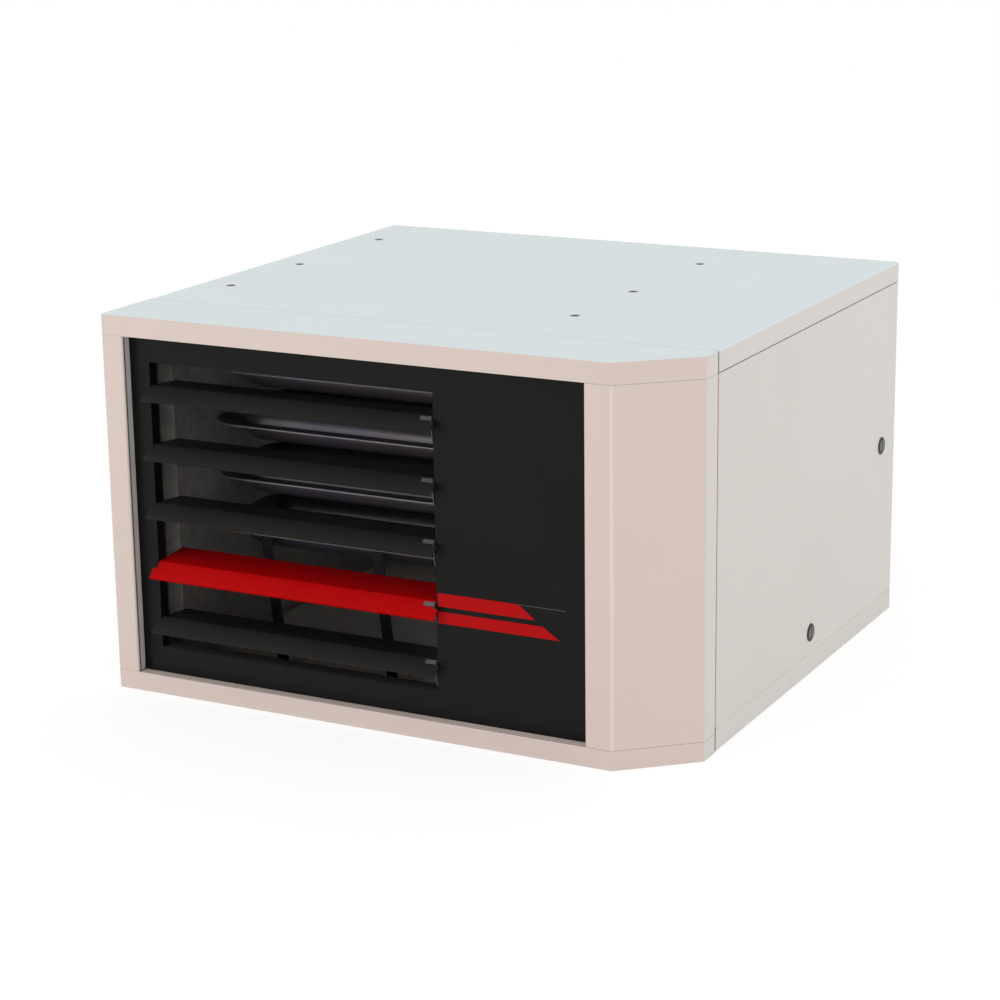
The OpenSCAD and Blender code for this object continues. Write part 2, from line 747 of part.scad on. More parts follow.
module gas_manifold() {
    top = cell_z[3] + spud_r * 3;
    color(steel) in_cabinet() difference() {
        union() {
            bar_z([manifold_x, burner_y, gas_z], gas_r, top - gas_z);
            bar_z([manifold_x, burner_y, top - spud_r], gas_r * 1.3, spud_r);
            translate([manifold_x, burner_y, gas_z]) sphere(r = gas_r * 1.35);
            bar_y([manifold_x, burner_y, gas_z], gas_r, valve_y[0] - burner_y);
            for (z = cell_z) {
                bar_x([manifold_x - spud_l - spud_r, burner_y, z], spud_r * 0.7, spud_l + spud_r);
                bar_x([manifold_x - spud_l, burner_y, z], spud_r, spud_l);
            }
        }
        for (z = cell_z)
            bar_x([manifold_x - spud_l - spud_r - over, burner_y, z], spud_r * 0.2, spud_l + over);
    }
}

module gas_valve() {
    x = [manifold_x - valve_r, manifold_x + valve_r];
    y = [valve_y[0] + spud_l, valve_y[1] - spud_l];
    z = [gas_z - valve_r, gas_z + valve_r];
    color(steel) in_cabinet() difference() {
        union() {
            span(x, y, z);
            bar_y([manifold_x, valve_y[0], gas_z], gas_r * 1.5, valve_y[1] - valve_y[0]);
            // Solenoid head and pressure regulator tower
            bar_z([manifold_x, y[0] + valve_r * 0.75, z[1]], valve_r * 0.7, valve_r);
            bar_z([manifold_x, y[1] - valve_r * 0.6, z[1]], valve_r * 0.5, valve_r * 0.8);
            bar_z([manifold_x, y[1] - valve_r * 0.6, z[1]], valve_r * 0.3, valve_r);
        }
        bar_x([x[1] - knob_seat, knob_y, gas_z], knob_shaft_r + running, knob_seat + over);
    }
}
knob_seat = 10;
knob_shaft_r = 4;
knob_r = 14;
knob_h = 15;
knob_y = (valve_y[0] + valve_y[1]) / 2;

// Knob with a ribbed grip and a raised pointer
module valve_knob() {
    x = manifold_x + valve_r;
    color(red) in_cabinet() {
        bar_x([x - knob_seat + play, knob_y, gas_z], knob_shaft_r, knob_seat);
        bar_x([x + play, knob_y, gas_z], knob_r, knob_h * 0.3);
        bar_x([x + play, knob_y, gas_z], knob_r * 0.8, knob_h);
        for (a = [0 : 30 : 330]) translate([x + play, knob_y, gas_z]) rotate([a, 0, 0])
            bar_x([0, 0, knob_r * 0.8], knob_r * 0.12, knob_h);
        span([x + play, x + play + knob_h * 1.1], [knob_y - sheet, knob_y + sheet],
            [gas_z, gas_z + knob_r * 0.7]);
    }
}

// Pipe from the valve through the rear panel, with a thread at its end
module gas_pipe() {
    y = [valve_y[1], cabinet_d + gas_out];
    thread_r = gas_r - gas_thread_cut;
    color(steel) in_cabinet() difference() {
        union() {
            bar_y([manifold_x, y[0], gas_z], gas_r, y[1] - gas_thread_l - y[0]);
            around_y([manifold_x, y[1] - gas_thread_l, gas_z])
                polygon([[0, 0], [thread_r, 0], [thread_r, gas_thread_l - thread_edge],
                    [thread_r - thread_edge, gas_thread_l], [0, gas_thread_l]]);
        }
        bar_y([manifold_x, y[0] + gas_r, gas_z], gas_r - gas_wall, y[1] - y[0]);
    }
}

// Igniter at the lowest burner and flame sensor at the highest, held by the box's web
rod_r = 1.6;
insulator_r = 4;
module flame_rods() {
    color("white") in_cabinet() for (z = [cell_z[0], cell_z[3]]) {
        bar_x([burner_x, burner_y + burner_r + 2 * insulator_r, z], rod_r, burner_l * 0.5);
        bar_x([web_x - burner_l * 0.2, burner_y + burner_r + 2 * insulator_r, z], insulator_r,
            burner_l * 0.2 - sheet);
    }
}

module flue_collector() {
    y = [pass_y[3] - flat_w / 2 - collector_play, pass_y[3] + flat_w / 2 + collector_play];
    z = [cell_z[0] - tube_r, cell_z[3] + tube_r];
    color(steel) in_cabinet() difference() {
        span([bay_x, collector_x], y, z);
        span([bay_x - over, collector_x - sheet], [y[0] + sheet, y[1] - sheet],
            [z[0] + sheet, z[1] - sheet]);
        bar_x([collector_x - sheet - over, pass_y[3], cell_mid], inlet_r, sheet + 2 * over);
    }
}

// Spiral outline of the inducer housing with its straight outlet towards the rear
function volute_r(t) = volute_in + (volute_out - volute_in) * t / 360;
module volute(inset, reach) {
    translate([pass_y[3], cell_mid]) polygon(concat(
        [for (t = [cut_angle : 10 : 360]) (volute_r(t) - inset) * [sin(t), cos(t)]],
        [[duct_y - pass_y[3] + reach, volute_out - inset],
            [duct_y - pass_y[3] + reach, volute_in * cos(cut_angle) + inset]]));
}

module inducer_housing() {
    back = volute_x + volute_w;
    color(zinc) in_cabinet() difference() {
        along_x(volute_x, volute_w) volute(0, 0);
        along_x(volute_x + volute_wall, volute_w - 2 * volute_wall) volute(volute_wall, over);
        bar_x([volute_x - over, pass_y[3], cell_mid], inlet_r, volute_wall + 2 * over);
        bar_x([back - volute_wall - over, pass_y[3], cell_mid], 2 * shaft_r, volute_wall + 2 * over);
    }
}

// Squirrel-cage wheel: back plate, hub, front ring and a row of slanted vanes
wheel_gap = 8;
vane_l = 11;
vane_count = 24;
vane_slant = 35;
module inducer_wheel() {
    x = [volute_x + wheel_gap, volute_x + volute_w - wheel_gap];
    color(zinc) in_cabinet() translate([0, pass_y[3], cell_mid]) {
        difference() {
            union() {
                bar_x([x[1] - sheet, 0, 0], wheel_r, sheet);
                bar_x([x[1] - fan_hub_l / 2, 0, 0], fan_hub_r * 0.8, fan_hub_l / 2);
            }
            bar_x([x[0], 0, 0], shaft_r, volute_w);
        }
        difference() {
            bar_x([x[0], 0, 0], wheel_r, sheet);
            bar_x([x[0] - over, 0, 0], wheel_r - vane_l, sheet + 2 * over);
        }
        for (i = [0 : vane_count - 1]) rotate([360 / vane_count * i, 0, 0])
            translate([0, 0, wheel_r - vane_l / 2 - sheet]) rotate([vane_slant, 0, 0])
                span([x[0] + sheet / 2, x[1] - sheet / 2], [-sheet / 3, sheet / 3],
                    [-vane_l / 2, vane_l / 2]);
    }
}

module inducer_shaft() {
    x = volute_x + volute_w - wheel_gap - fan_hub_l / 2;
    color(steel) in_cabinet()
        bar_x([x, pass_y[3], cell_mid], shaft_r, inducer_motor_x + inducer_motor_l / 2 - x);
}

module inducer_motor() {
    back = volute_x + volute_w;
    c = [0, pass_y[3], cell_mid];
    color(black) in_cabinet() difference() {
        union() {
            translate(c) for (a = [45 : 90 : 315]) rotate([a, 0, 0])
                bar_x([back, 0, inducer_motor_r * 0.8], shaft_r, inducer_motor_x - back + sheet);
            translate(c) bar_x([inducer_motor_x, 0, 0], inducer_motor_r, inducer_motor_l * 0.25);
            translate(c) bar_x([inducer_motor_x, 0, 0], inducer_motor_r * 0.85, inducer_motor_l * 0.75);
            translate(c) bar_x([inducer_motor_x, 0, 0], inducer_motor_r, sheet * 2);
            translate(c) bar_x([inducer_motor_x, 0, 0], inducer_motor_r * 0.4, inducer_motor_l);
        }
        translate(c) bar_x([inducer_motor_x - over, 0, 0], shaft_r + running, inducer_motor_l * 0.6);
    }
}

// Flue pipe: a duct from the inducer through the rear panel, and outside it a flanged collar
collar_in = 12;
module flue_pipe() {
    tip = cabinet_d + flue_out;
    collar_l = tip - rear_y[1];
    color(zinc) in_cabinet() {
        difference() {
            bar_y([flue_x, duct_y, flue_z], duct_r, tip - collar_in - duct_y);
            bar_y([flue_x, duct_y + sheet, flue_z], duct_r - sheet, tip - duct_y);
            span([volute_x + volute_wall, volute_x + volute_w - volute_wall],
                [duct_y - over, duct_y + sheet + over],
                [flue_z - duct_h / 2 + volute_wall, flue_z + duct_h / 2 - volute_wall]);
        }
        around_y([flue_x, rear_y[1], flue_z])
            polygon([[duct_r, 0], [flue_r + wall_lip, 0], [flue_r + wall_lip, sheet],
                [flue_r + sheet, sheet], [flue_r, 2 * sheet], [flue_r, collar_l], [duct_r, collar_l]]);
    }
}

// Round diaphragm switch on the partition, and its hose to the top of the flue collector
disc_r = 29;
disc_t = 26;
port_r = 3.2;
disc_in = 100;
disc_y = pass_y[3] - disc_in;
disc_drop = 12;
disc_z = top_z - disc_r - disc_drop;
module pressure_switch() {
    x = bay_x + disc_t * 0.2;
    mid = bay_x + disc_t / 2;
    hose_y = [disc_y + disc_r + port_r, pass_y[3]];
    hose_z = cell_z[3] + tube_r;
    turn_r = min(4 * port_r, disc_z - hose_z - port_r / 2);
    color(black) in_cabinet() {
        bar_x([bay_x, disc_y, disc_z], disc_r * 0.4, disc_t);
        bar_x([x, disc_y, disc_z], disc_r * 0.9, disc_t * 0.7);
        bar_x([x + disc_t * 0.25, disc_y, disc_z], disc_r, disc_t * 0.2);
        bar_x([x + disc_t * 0.6, disc_y, disc_z], disc_r * 0.5, disc_t * 0.4);
        bar_y([mid, disc_y, disc_z], port_r * 0.7, disc_r + port_r);
        bar_y([mid, hose_y[0], disc_z], port_r, hose_y[1] - turn_r - hose_y[0]);
        translate([mid, hose_y[1] - turn_r, disc_z - turn_r]) rotate([90, 0, 90])
            rotate_extrude(angle = 90) translate([turn_r, 0]) circle(r = port_r);
        bar_z([mid, hose_y[1], hose_z], port_r, disc_z - turn_r - hose_z);
    }
}

module control_plate() {
    color(zinc) in_cabinet() along_y(plate_y[0], plate_y[1] - plate_y[0])
        bent([[plate_x + wall_lip, sheet], [plate_x, sheet], [plate_x, plate_top],
            [plate_x + wall_lip, plate_top]], -sheet, sheet * 1.5);
}

// Circuit board on four posts, with relays, capacitors and a connector row
relay_shares = [0.15, 0.41, 0.67];
capacitor_shares = [0.2, 0.37, 0.54, 0.71];
module control_board() {
    x = plate_x + sheet;
    y = [plate_y[0] + wall_lip, plate_y[1] - wall_lip];
    z = [gas_z + gas_r + 3 * wall_lip, plate_top - wall_lip];
    front = x + board_off + board_t;
    l = y[1] - y[0];
    h = z[1] - z[0];
    color("darkgreen") in_cabinet() {
        span([x + board_off, front], y, z);
        for (p = [y[0] + wall_lip / 2, y[1] - wall_lip / 2], q = [z[0] + wall_lip / 2, z[1] - wall_lip / 2])
            bar_x([x, p, q], shaft_r * 0.8, board_off);
        for (s = relay_shares)
            span([front, front + wall_lip * 1.3], [y[0] + l * s, y[0] + l * (s + 0.18)],
                [z[0] + h * 0.62, z[0] + h * 0.88]);
        for (s = capacitor_shares)
            bar_x([front, y[0] + l * s, z[0] + h * 0.42], h * 0.06, wall_lip);
        span([front, front + wall_lip * 0.8], [y[0] + l * 0.1, y[1] - l * 0.1],
            [z[0] + h * 0.08, z[0] + h * 0.22]);
    }
}

module terminal_block() {
    x = plate_x + sheet;
    y = [plate_y[0] + wall_lip, plate_y[0] + wall_lip + terminal_count * terminal_pitch];
    z = gas_z + gas_r + wall_lip * 0.8;
    color("ivory") in_cabinet() difference() {
        span([x, x + wall_lip * 1.4], y, [z, z + wall_lip * 1.5]);
        for (i = [0 : terminal_count - 1])
            bar_x([x + wall_lip * 0.6, y[0] + (i + 0.5) * terminal_pitch, z + wall_lip * 0.75],
                terminal_pitch * 0.3, wall_lip);
    }
}
terminal_count = 8;
terminal_pitch = 11;

// Transformer on the base: core, winding and two feet
core_w = 30;
core_l = 52;
core_h = 46;
transformer_x = jamb_x - cam_l - core_w;
transformer_share = 0.8;
transformer_y = cabinet_d * transformer_share;
module transformer() {
    x = [transformer_x, transformer_x + core_w];
    y = [transformer_y, transformer_y + core_l];
    color(steel) in_cabinet() {
        span([x[0], x[1]], [y[0] - wall_lip, y[1] + wall_lip], [sheet, 2 * sheet]);
        span([x[0] + core_w * 0.25, x[1] - core_w * 0.25], y, [sheet, sheet + core_h]);
        span(x, [y[0] + core_l * 0.2, y[1] - core_l * 0.2],
            [sheet + core_h * 0.18, sheet + core_h * 0.82]);
    }
}

// Door switch on a bracket below the top panel; its plunger reaches to the door's skin
switch_l = 26;
switch_h = 20;
switch_x = [cabinet_w - hinge_in * 3 - switch_l, cabinet_w - hinge_in * 3];
module door_switch() {
    color(black) in_cabinet() difference() {
        union() {
            span(switch_x, [switch_y - switch_h / 2, switch_y + switch_h / 2],
                [switch_z - switch_h / 2, switch_z + switch_h / 2]);
            span([switch_x[0], switch_x[1] - plunger_r], [switch_y - sheet, switch_y], [switch_z, top_z]);
            span([switch_x[0], switch_x[1] - plunger_r], [switch_y - wall_lip, switch_y],
                [top_z - sheet, top_z]);
        }
        bar_x([switch_x[1] - plunger_in - plunger_travel - play, switch_y, switch_z], plunger_r + running,
            switch_l);
    }
}
plunger_in = 8;
module switch_plunger() {
    x = [switch_x[1] - plunger_in, cabinet_w - sheet - play];
    color("ivory") in_cabinet() bar_x([x[0], switch_y, switch_z], plunger_r, x[1] - x[0]);
}

// Bell-mouthed ring around the fan, behind the rear panel
module fan_orifice() {
    rim = [orifice_r + bell, orifice_y + sheet];
    path = concat([rim + [bell_flange, 0], rim],
        [for (a = [15 : 15 : 90]) rim + bell * [-sin(a), cos(a) - 1]],
        [[orifice_r, fan_y - throat_d / 4]]);
    color(zinc) in_cabinet() around_y([fan_x, 0, fan_z]) polygon(ribbon(path, sheet));
}

// Fan: hub and spider with four pitched, cambered blades cut to a swept outline
function camber_line(n) = [for (i = [0 : n]) let (s = i / n - 0.5)
    [fan_chord * s, fan_camber * (1 - 4 * s * s)]];
fan_outline_shares = [[-0.12, 0.16], [-0.34, 0.6], [-0.36, 1], [-0.2, 1.1], [0.26, 1.1], [0.34, 0.92],
    [0.3, 0.5], [0.12, 0.16]];
module fan_blades() {
    color(zinc) in_cabinet() translate([fan_x, fan_y, fan_z]) {
        difference() {
            union() {
                bar_y([0, -spider_t / 2, 0], spider_r, spider_t);
                bar_y([0, -fan_hub_l * 0.6, 0], fan_hub_r, fan_hub_l);
            }
            bar_y([0, -fan_hub_l, 0], shaft_r, 2 * fan_hub_l);
        }
        for (k = [0 : 3]) rotate([0, 90 * k, 0]) intersection() {
            translate([0, 0, fan_hub_r + play]) linear_extrude(fan_r)
                rotate(fan_pitch) translate([0, -fan_camber / 2])
                    polygon(ribbon(camber_line(8), fan_sheet));
            along_y(-fan_chord / 2, fan_chord) intersection() {
                polygon([for (p = fan_outline_shares) p * fan_r]);
                circle(r = fan_r, $fn = 96);
            }
        }
    }
}

module fan_shaft() {
    y = [fan_y - fan_hub_l * 0.6, motor_y + motor_l / 2];
    color(steel) in_cabinet() bar_y([fan_x, y[0], fan_z], shaft_r, y[1] - y[0]);
}

// Motor with a finned shell, two end bells and a mounting band
fin_count = 24;
fin_h = 2;
module fan_motor() {
    color(black) in_cabinet() translate([fan_x, motor_y, fan_z]) difference() {
        union() {
            bar_y([0, 0, 0], motor_r * 0.5, motor_l);
            bar_y([0, motor_l * 0.08, 0], motor_r * 0.88, motor_l * 0.84);
            bar_y([0, motor_l * 0.16, 0], motor_r - fin_h, motor_l * 0.68);
            for (a = [1 : fin_count]) rotate([0, 360 / fin_count * a, 0])
                span([-fin_h / 2, fin_h / 2], [motor_l * 0.2, motor_l * 0.8],
                    [motor_r - 2 * fin_h, motor_r]);
        }
        bar_y([0, -over, 0], shaft_r + running, motor_l * 0.6);
    }
}

// Dished wire guard: rings on spokes with legs to the rear panel, and a plate that grips the motor
module fan_guard() {
    ring_step = (guard_r - guard_in) / (guard_rings - 1);
    spoke_y = guard_y - cabinet_d - wire_r;
    color(zinc) in_cabinet() translate([fan_x, cabinet_d, fan_z]) {
        for (i = [0 : guard_rings - 1]) around_y([0, guard_y - cabinet_d + wire_r * 0.6, 0])
            translate([guard_in + i * ring_step, 0]) circle(r = wire_r, $fn = 8);
        for (a = [1 : guard_spokes]) rotate([0, 360 / guard_spokes * (a - 0.5), 0]) {
            translate([0, spoke_y, guard_in - wire_r * 2])
                cylinder(r = wire_r, h = guard_r - guard_in + 3 * wire_r, $fn = 8);
            translate([0, -sheet, guard_r - wire_r]) rotate([-90, 0, 0])
                cylinder(r = wire_r, h = spoke_y + sheet, $fn = 8);
        }
        difference() {
            bar_y([0, spoke_y - wire_r, 0], guard_in, 2 * sheet);
            bar_y([0, 0, 0], motor_r + play, 2 * guard_d);
        }
    }
}

module cable_bushing() {
    color(black) in_cabinet() around_y([bushing_x, rear_y[0], bushing_z])
        polygon([[bushing_r, -bushing_l], [bushing_r + sheet, -bushing_l], [bushing_r + sheet * 1.9, -seam],
            [bushing_r + sheet * 1.9, sheet], [bushing_r + 4 * sheet, sheet],
            [bushing_r + 3.4 * sheet, 3 * sheet], [bushing_r, 3 * sheet]]);
}
bushing_l = 7;

// Two brackets on the flanges, each with the pin that the door turns on
module hinge_set() {
    y = [hinge_y - bracket_l / 3, hinge_y + bracket_l * 2 / 3];
    x = [hinge_x - bracket_l / 2, cabinet_w - sheet];
    low = door_z[0] - hinge_gap;
    high = door_z[1] + hinge_gap;
    color(zinc) in_cabinet() {
        span(x, y, [low - bracket_t, low]);
        span([x[1] - sheet, x[1]], y, [low - pin_reach, low]);
        bar_z([hinge_x, hinge_y, low - bracket_t / 2], hinge_r, pin_reach + bracket_t / 2);
        span(x, y, [high, high + bracket_t]);
        span([x[1] - sheet, x[1]], y, [high, high + pin_reach]);
        bar_z([hinge_x, hinge_y, high - pin_reach], hinge_r, pin_reach + bracket_t / 2);
    }
}

module service_door() {
    inner_x = cabinet_w - door_return;
    color(beige) in_cabinet() difference() {
        union() {
            along_z(door_z[0], door_z[1] - door_z[0])
                bent([[inner_x, door_y[0]], [cabinet_w, door_y[0]], [cabinet_w, door_y[1]],
                    [inner_x, door_y[1]]]);
            for (z = [door_z[0], door_z[1] - sheet])
                span([inner_x, cabinet_w - sheet / 2], [door_y[0] + sheet / 2, door_y[1] - sheet / 2],
                    [z, z + sheet]);
        }
        bar_z([hinge_x, hinge_y, 0], hinge_r + running, cabinet_h);
        for (p = [fastener_mid, fastener_low_at])
            bar_x([cabinet_w - sheet - over, p[0], p[1]], shank_r + running, 2 * over + sheet);
    }
}
bezel_proud = 1.6;

// Dark rings that the fasteners' heads sit in
module fastener_bezels() {
    color(black) in_cabinet() for (p = [fastener_mid, fastener_low_at])
        around_x([cabinet_w, p[0], p[1]]) polygon([[fastener_r + play, 0],
            [fastener_r + bezel_w, 0], [fastener_r + bezel_w, bezel_proud / 2],
            [fastener_r + bezel_w / 2, bezel_proud], [fastener_r + play, bezel_proud]]);
}

// Quarter-turn fastener: slotted head, shank and the cam behind the door jamb
module fastener(p, cam_turn) {
    color(zinc) in_cabinet() translate([0, p[0], p[1]]) {
        difference() {
            bar_x([cabinet_w + play / 3, 0, 0], fastener_r, head_t);
            span([cabinet_w + head_t / 2, cabinet_w + 2 * head_t], [-slot_w / 2, slot_w / 2],
                [-fastener_r, fastener_r]);
        }
        bar_x([cam_x, 0, 0], shank_r, cabinet_w + head_t / 2 - cam_x);
        rotate([cam_turn, 0, 0]) span([cam_x, cam_x + cam_t], [-cam_w / 2, cam_w / 2], [-cam_w / 2, cam_l]);
    }
}
module fastener_rear() { fastener(fastener_mid, 0); }
module fastener_low() { fastener(fastener_low_at, -90); }

// Hex-headed screws around the rear panel
screw_r = 4;
screw_h = 4;
screw_in = 12;
module panel_screws() {
    x = [screw_in + sheet, fan_x, partition_x + screw_in, jamb_x - screw_in];
    color(zinc) in_cabinet() for (a = x, z = [bottom_flange / 2, cabinet_h - top_flange / 2])
        translate([a, cabinet_d, z]) rotate([-90, 0, 0]) {
            cylinder(r = screw_r, h = screw_h, $fn = 6);
            cylinder(r = screw_r * 1.4, h = sheet);
        }
}

base_pan();
top_panel();
left_side_panel();
rear_panel();
partition_wall();
side_liner();
front_top_cap();
front_bottom_cap();
front_left_post();
front_corner_post();
louver_panel();
accent_stripes();
for (i = [0 : blade_count - 1]) {
    louver(i);
    louver_clip(i);
}
for (i = [0 : 3])
    exchanger_cell(i);
exchanger_struts();
burner_box();
burners();
gas_manifold();
gas_valve();
valve_knob();
gas_pipe();
flame_rods();
flue_collector();
inducer_housing();
inducer_wheel();
inducer_shaft();
inducer_motor();
flue_pipe();
pressure_switch();
control_plate();
control_board();
terminal_block();
transformer();
door_switch();
switch_plunger();
fan_orifice();
fan_blades();
fan_shaft();
fan_motor();
fan_guard();
cable_bushing();
hinge_set();
service_door();
fastener_bezels();
fastener_rear();
fastener_low();
hanger_nuts();
panel_screws();
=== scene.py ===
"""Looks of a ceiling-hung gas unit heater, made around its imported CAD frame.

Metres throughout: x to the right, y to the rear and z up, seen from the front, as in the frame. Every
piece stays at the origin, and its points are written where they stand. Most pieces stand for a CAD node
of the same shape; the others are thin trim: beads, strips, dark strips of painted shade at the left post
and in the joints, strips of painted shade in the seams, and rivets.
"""

import json
import math
from functools import partial

import bmesh
import bpy
import numpy as np
from bpy.props import FloatProperty, FloatVectorProperty, PointerProperty
from mathutils import Matrix, Vector
from mathutils.geometry import convex_hull_2d


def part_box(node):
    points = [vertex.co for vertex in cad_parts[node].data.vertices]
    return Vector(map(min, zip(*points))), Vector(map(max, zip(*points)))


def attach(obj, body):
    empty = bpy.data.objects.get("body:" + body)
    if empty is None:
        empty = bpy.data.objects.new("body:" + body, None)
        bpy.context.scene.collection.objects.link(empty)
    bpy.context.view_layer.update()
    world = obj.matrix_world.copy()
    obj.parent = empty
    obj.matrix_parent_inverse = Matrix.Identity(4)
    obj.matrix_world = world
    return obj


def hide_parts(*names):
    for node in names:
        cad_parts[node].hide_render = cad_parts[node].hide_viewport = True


bl_info = {
    "name": "Gas unit heater",
    "version": (1, 0, 0),
    "blender": (4, 5, 0),
    "location": "3D View > Sidebar > Heater",
    "description": "Finishes and fine parts of a ceiling-hung gas unit heater around its CAD frame",
    "category": "Object",
}

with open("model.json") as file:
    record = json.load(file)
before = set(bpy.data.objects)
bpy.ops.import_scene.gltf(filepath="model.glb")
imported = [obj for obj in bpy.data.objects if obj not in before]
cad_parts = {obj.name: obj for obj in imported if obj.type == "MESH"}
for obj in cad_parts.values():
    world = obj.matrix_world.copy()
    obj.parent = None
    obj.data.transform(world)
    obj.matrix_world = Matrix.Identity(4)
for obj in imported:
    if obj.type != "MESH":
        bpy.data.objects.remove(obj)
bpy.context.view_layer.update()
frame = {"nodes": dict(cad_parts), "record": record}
BOX = {name: [np.array(corner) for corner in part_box(name)] for name in frame["nodes"]}
BODY = {
    node: body
    for body, members in frame["record"]["behaviour"]["bodies"].items()
    for node in members
}
SLOT = {part["node"]: part["material_slot"] for part in frame["record"]["subparts"]}


def linear(red, green, blue):
    """Linear colour of three sRGB values from 0 to 255."""
    srgb = np.array([red, green, blue]) / 255
    return tuple(np.where(srgb <= 0.04045, srgb / 12.92, ((srgb + 0.055) / 1.055) ** 2.4))


# ---------------------------------------------------------------- sizes and colours

# CAD meshes: vertices merged within metres, facets dissolved and edges eased by angles in degrees
MERGE, FLAT, EASED = 2e-7, 0.2, 40
# Angle in degrees below which a turned or moulded piece shades smooth
ROUND = 40

# Sheets in the plain beige coat
COATED = (
    "front_top_cap", "front_left_post", "top_panel", "left_side_panel", "rear_panel", "service_door",
)

# Straw, violet and blue of steel that has been hot, and where in the clouds each stands
TEMPER = ((0.45, linear(116, 108, 98)), (0.55, linear(100, 93, 110)), (0.7, linear(84, 90, 110)))

# Corner post: places of the bends across x, and the half width of the painted highlight on each
CORNER_BENDS = (0.27,)
BEND_HIGHLIGHT_HALF = 0.003

# Routes of the cover's seams, in millimetres from its front left corner
CORNER_SEAM = [(586, 0.6), (600, 0.6), (614.7, 0.6), (650, 31.8), (689.2, 66.6), (689.4, 80), (689.4, 93)]
LEFT_SEAM = [(0.6, 93), (0.6, 50), (0.6, 3), (3, 0.6), (14, 0.6), (26.5, 0.6)]

# Sections of the thin strips: width, height and corner radius
POST_STRIP = (0.0028, 0.0003, 0.0001)
JOINT_STRIP = (0.001, 0.0023, 0.0003)
DOOR_STRIP = (0.001, 0.0009, 0.0002)
FILM_STRIP = (0.0001, 0.0006, 0.00004)
SEAM_STRIP = (0.0006, 0.00024, 0.00008)

# Places of the strips: distances from the node that carries each, the film edge's own place,
# and the number of points along each
POST_OUT, POST_IN, POST_END, POST_POINTS = 0.00012, 0.0022, 0.001, 12
JOINT_IN, JOINT_END, JOINT_POINTS = 0.0011, 0.0012, 24
DOOR_IN, DOOR_UNDER, DOOR_FRONT, DOOR_REAR, DOOR_POINTS = 0.0007, 0.0006, 0.001, 0.002, 24
FILM_OUT, FILM_Z, FILM_X, FILM_POINTS = 0.00003, 0.161, (0.157, 0.2125), 8

# Half thickness of the layer in which a cell's flat seam is looked for
CELL_SEAM_HALF = 0.0012

# Rivets of the rear panel: rows along its low and high edges, and columns along its sides
RIVET_ROWS_X, RIVET_ROWS_Z = (-0.215, 0.005, 0.225), (0.012, 0.4185)
RIVET_COLUMNS_X, RIVET_COLUMNS_Z = (-0.335, 0.319), (0.12, 0.215, 0.31)
# Dome of a blind rivet as (radius, height) in shares of its radius, and its sides
RIVET_PROFILE = [
    (0, 0.3), (0.28, 0.3), (0.34, 0.62), (0.7, 0.5), (0.95, 0.2), (1, 0.08), (1, -0.1), (0, -0.1),
]
RIVET_SIDES = 16

# Circuit board: height of a relay, its skin, and bands as shares of the board's height
RELAY_H, SKIN = 0.0156, 0.0001
RELAY_BAND, CAPACITOR_BAND, CONNECTOR_BAND = (0.55, 1.1), (0.32, 0.52), (-0.1, 0.25)

# Transformer: half width of its core, share of the coil's depth with its margin, and the foot's thickness
CORE_HALF = 0.0157
COIL_SHARE, COIL_MARGIN = 0.24, 0.001
FOOT_T = 0.0016

# Camera fitted to the photograph: place, azimuth, elevation and roll in degrees, and lens in millimetres
CAMERA_PLACE = (1.33793, -2.60505, 0.98151)
CAMERA_TURN = (27.603, 15.331, -0.765)
CAMERA_LENS, SENSOR_WIDTH = 93.98, 36

# Floor's half width and glow, the share of it that takes the shadow, and the soft lights:
# name, place, size and share of the key light's power
FLOOR_HALF, FLOOR_GLOW, FLOOR_SHADOW = 6.0, 1.12, 0.3
LIGHTS = (("Key light", (-1.9, -3.0, 1.3), 2.4, 1.0), ("Right light", (3.0, 0.3, 0.9), 1.8, 0.6))
LIGHT_AIM = (0, 0, 0.2)


def shade(name, description, default):
    """A colour property."""
    return FloatVectorProperty(
        name=name, description=description, default=default, size=3, min=0, max=1, subtype="COLOR"
    )


def length(name, description, default):
    """A length property in metres."""
    return FloatProperty(
        name=name, description=description, default=default, min=0, unit="LENGTH", precision=5
    )


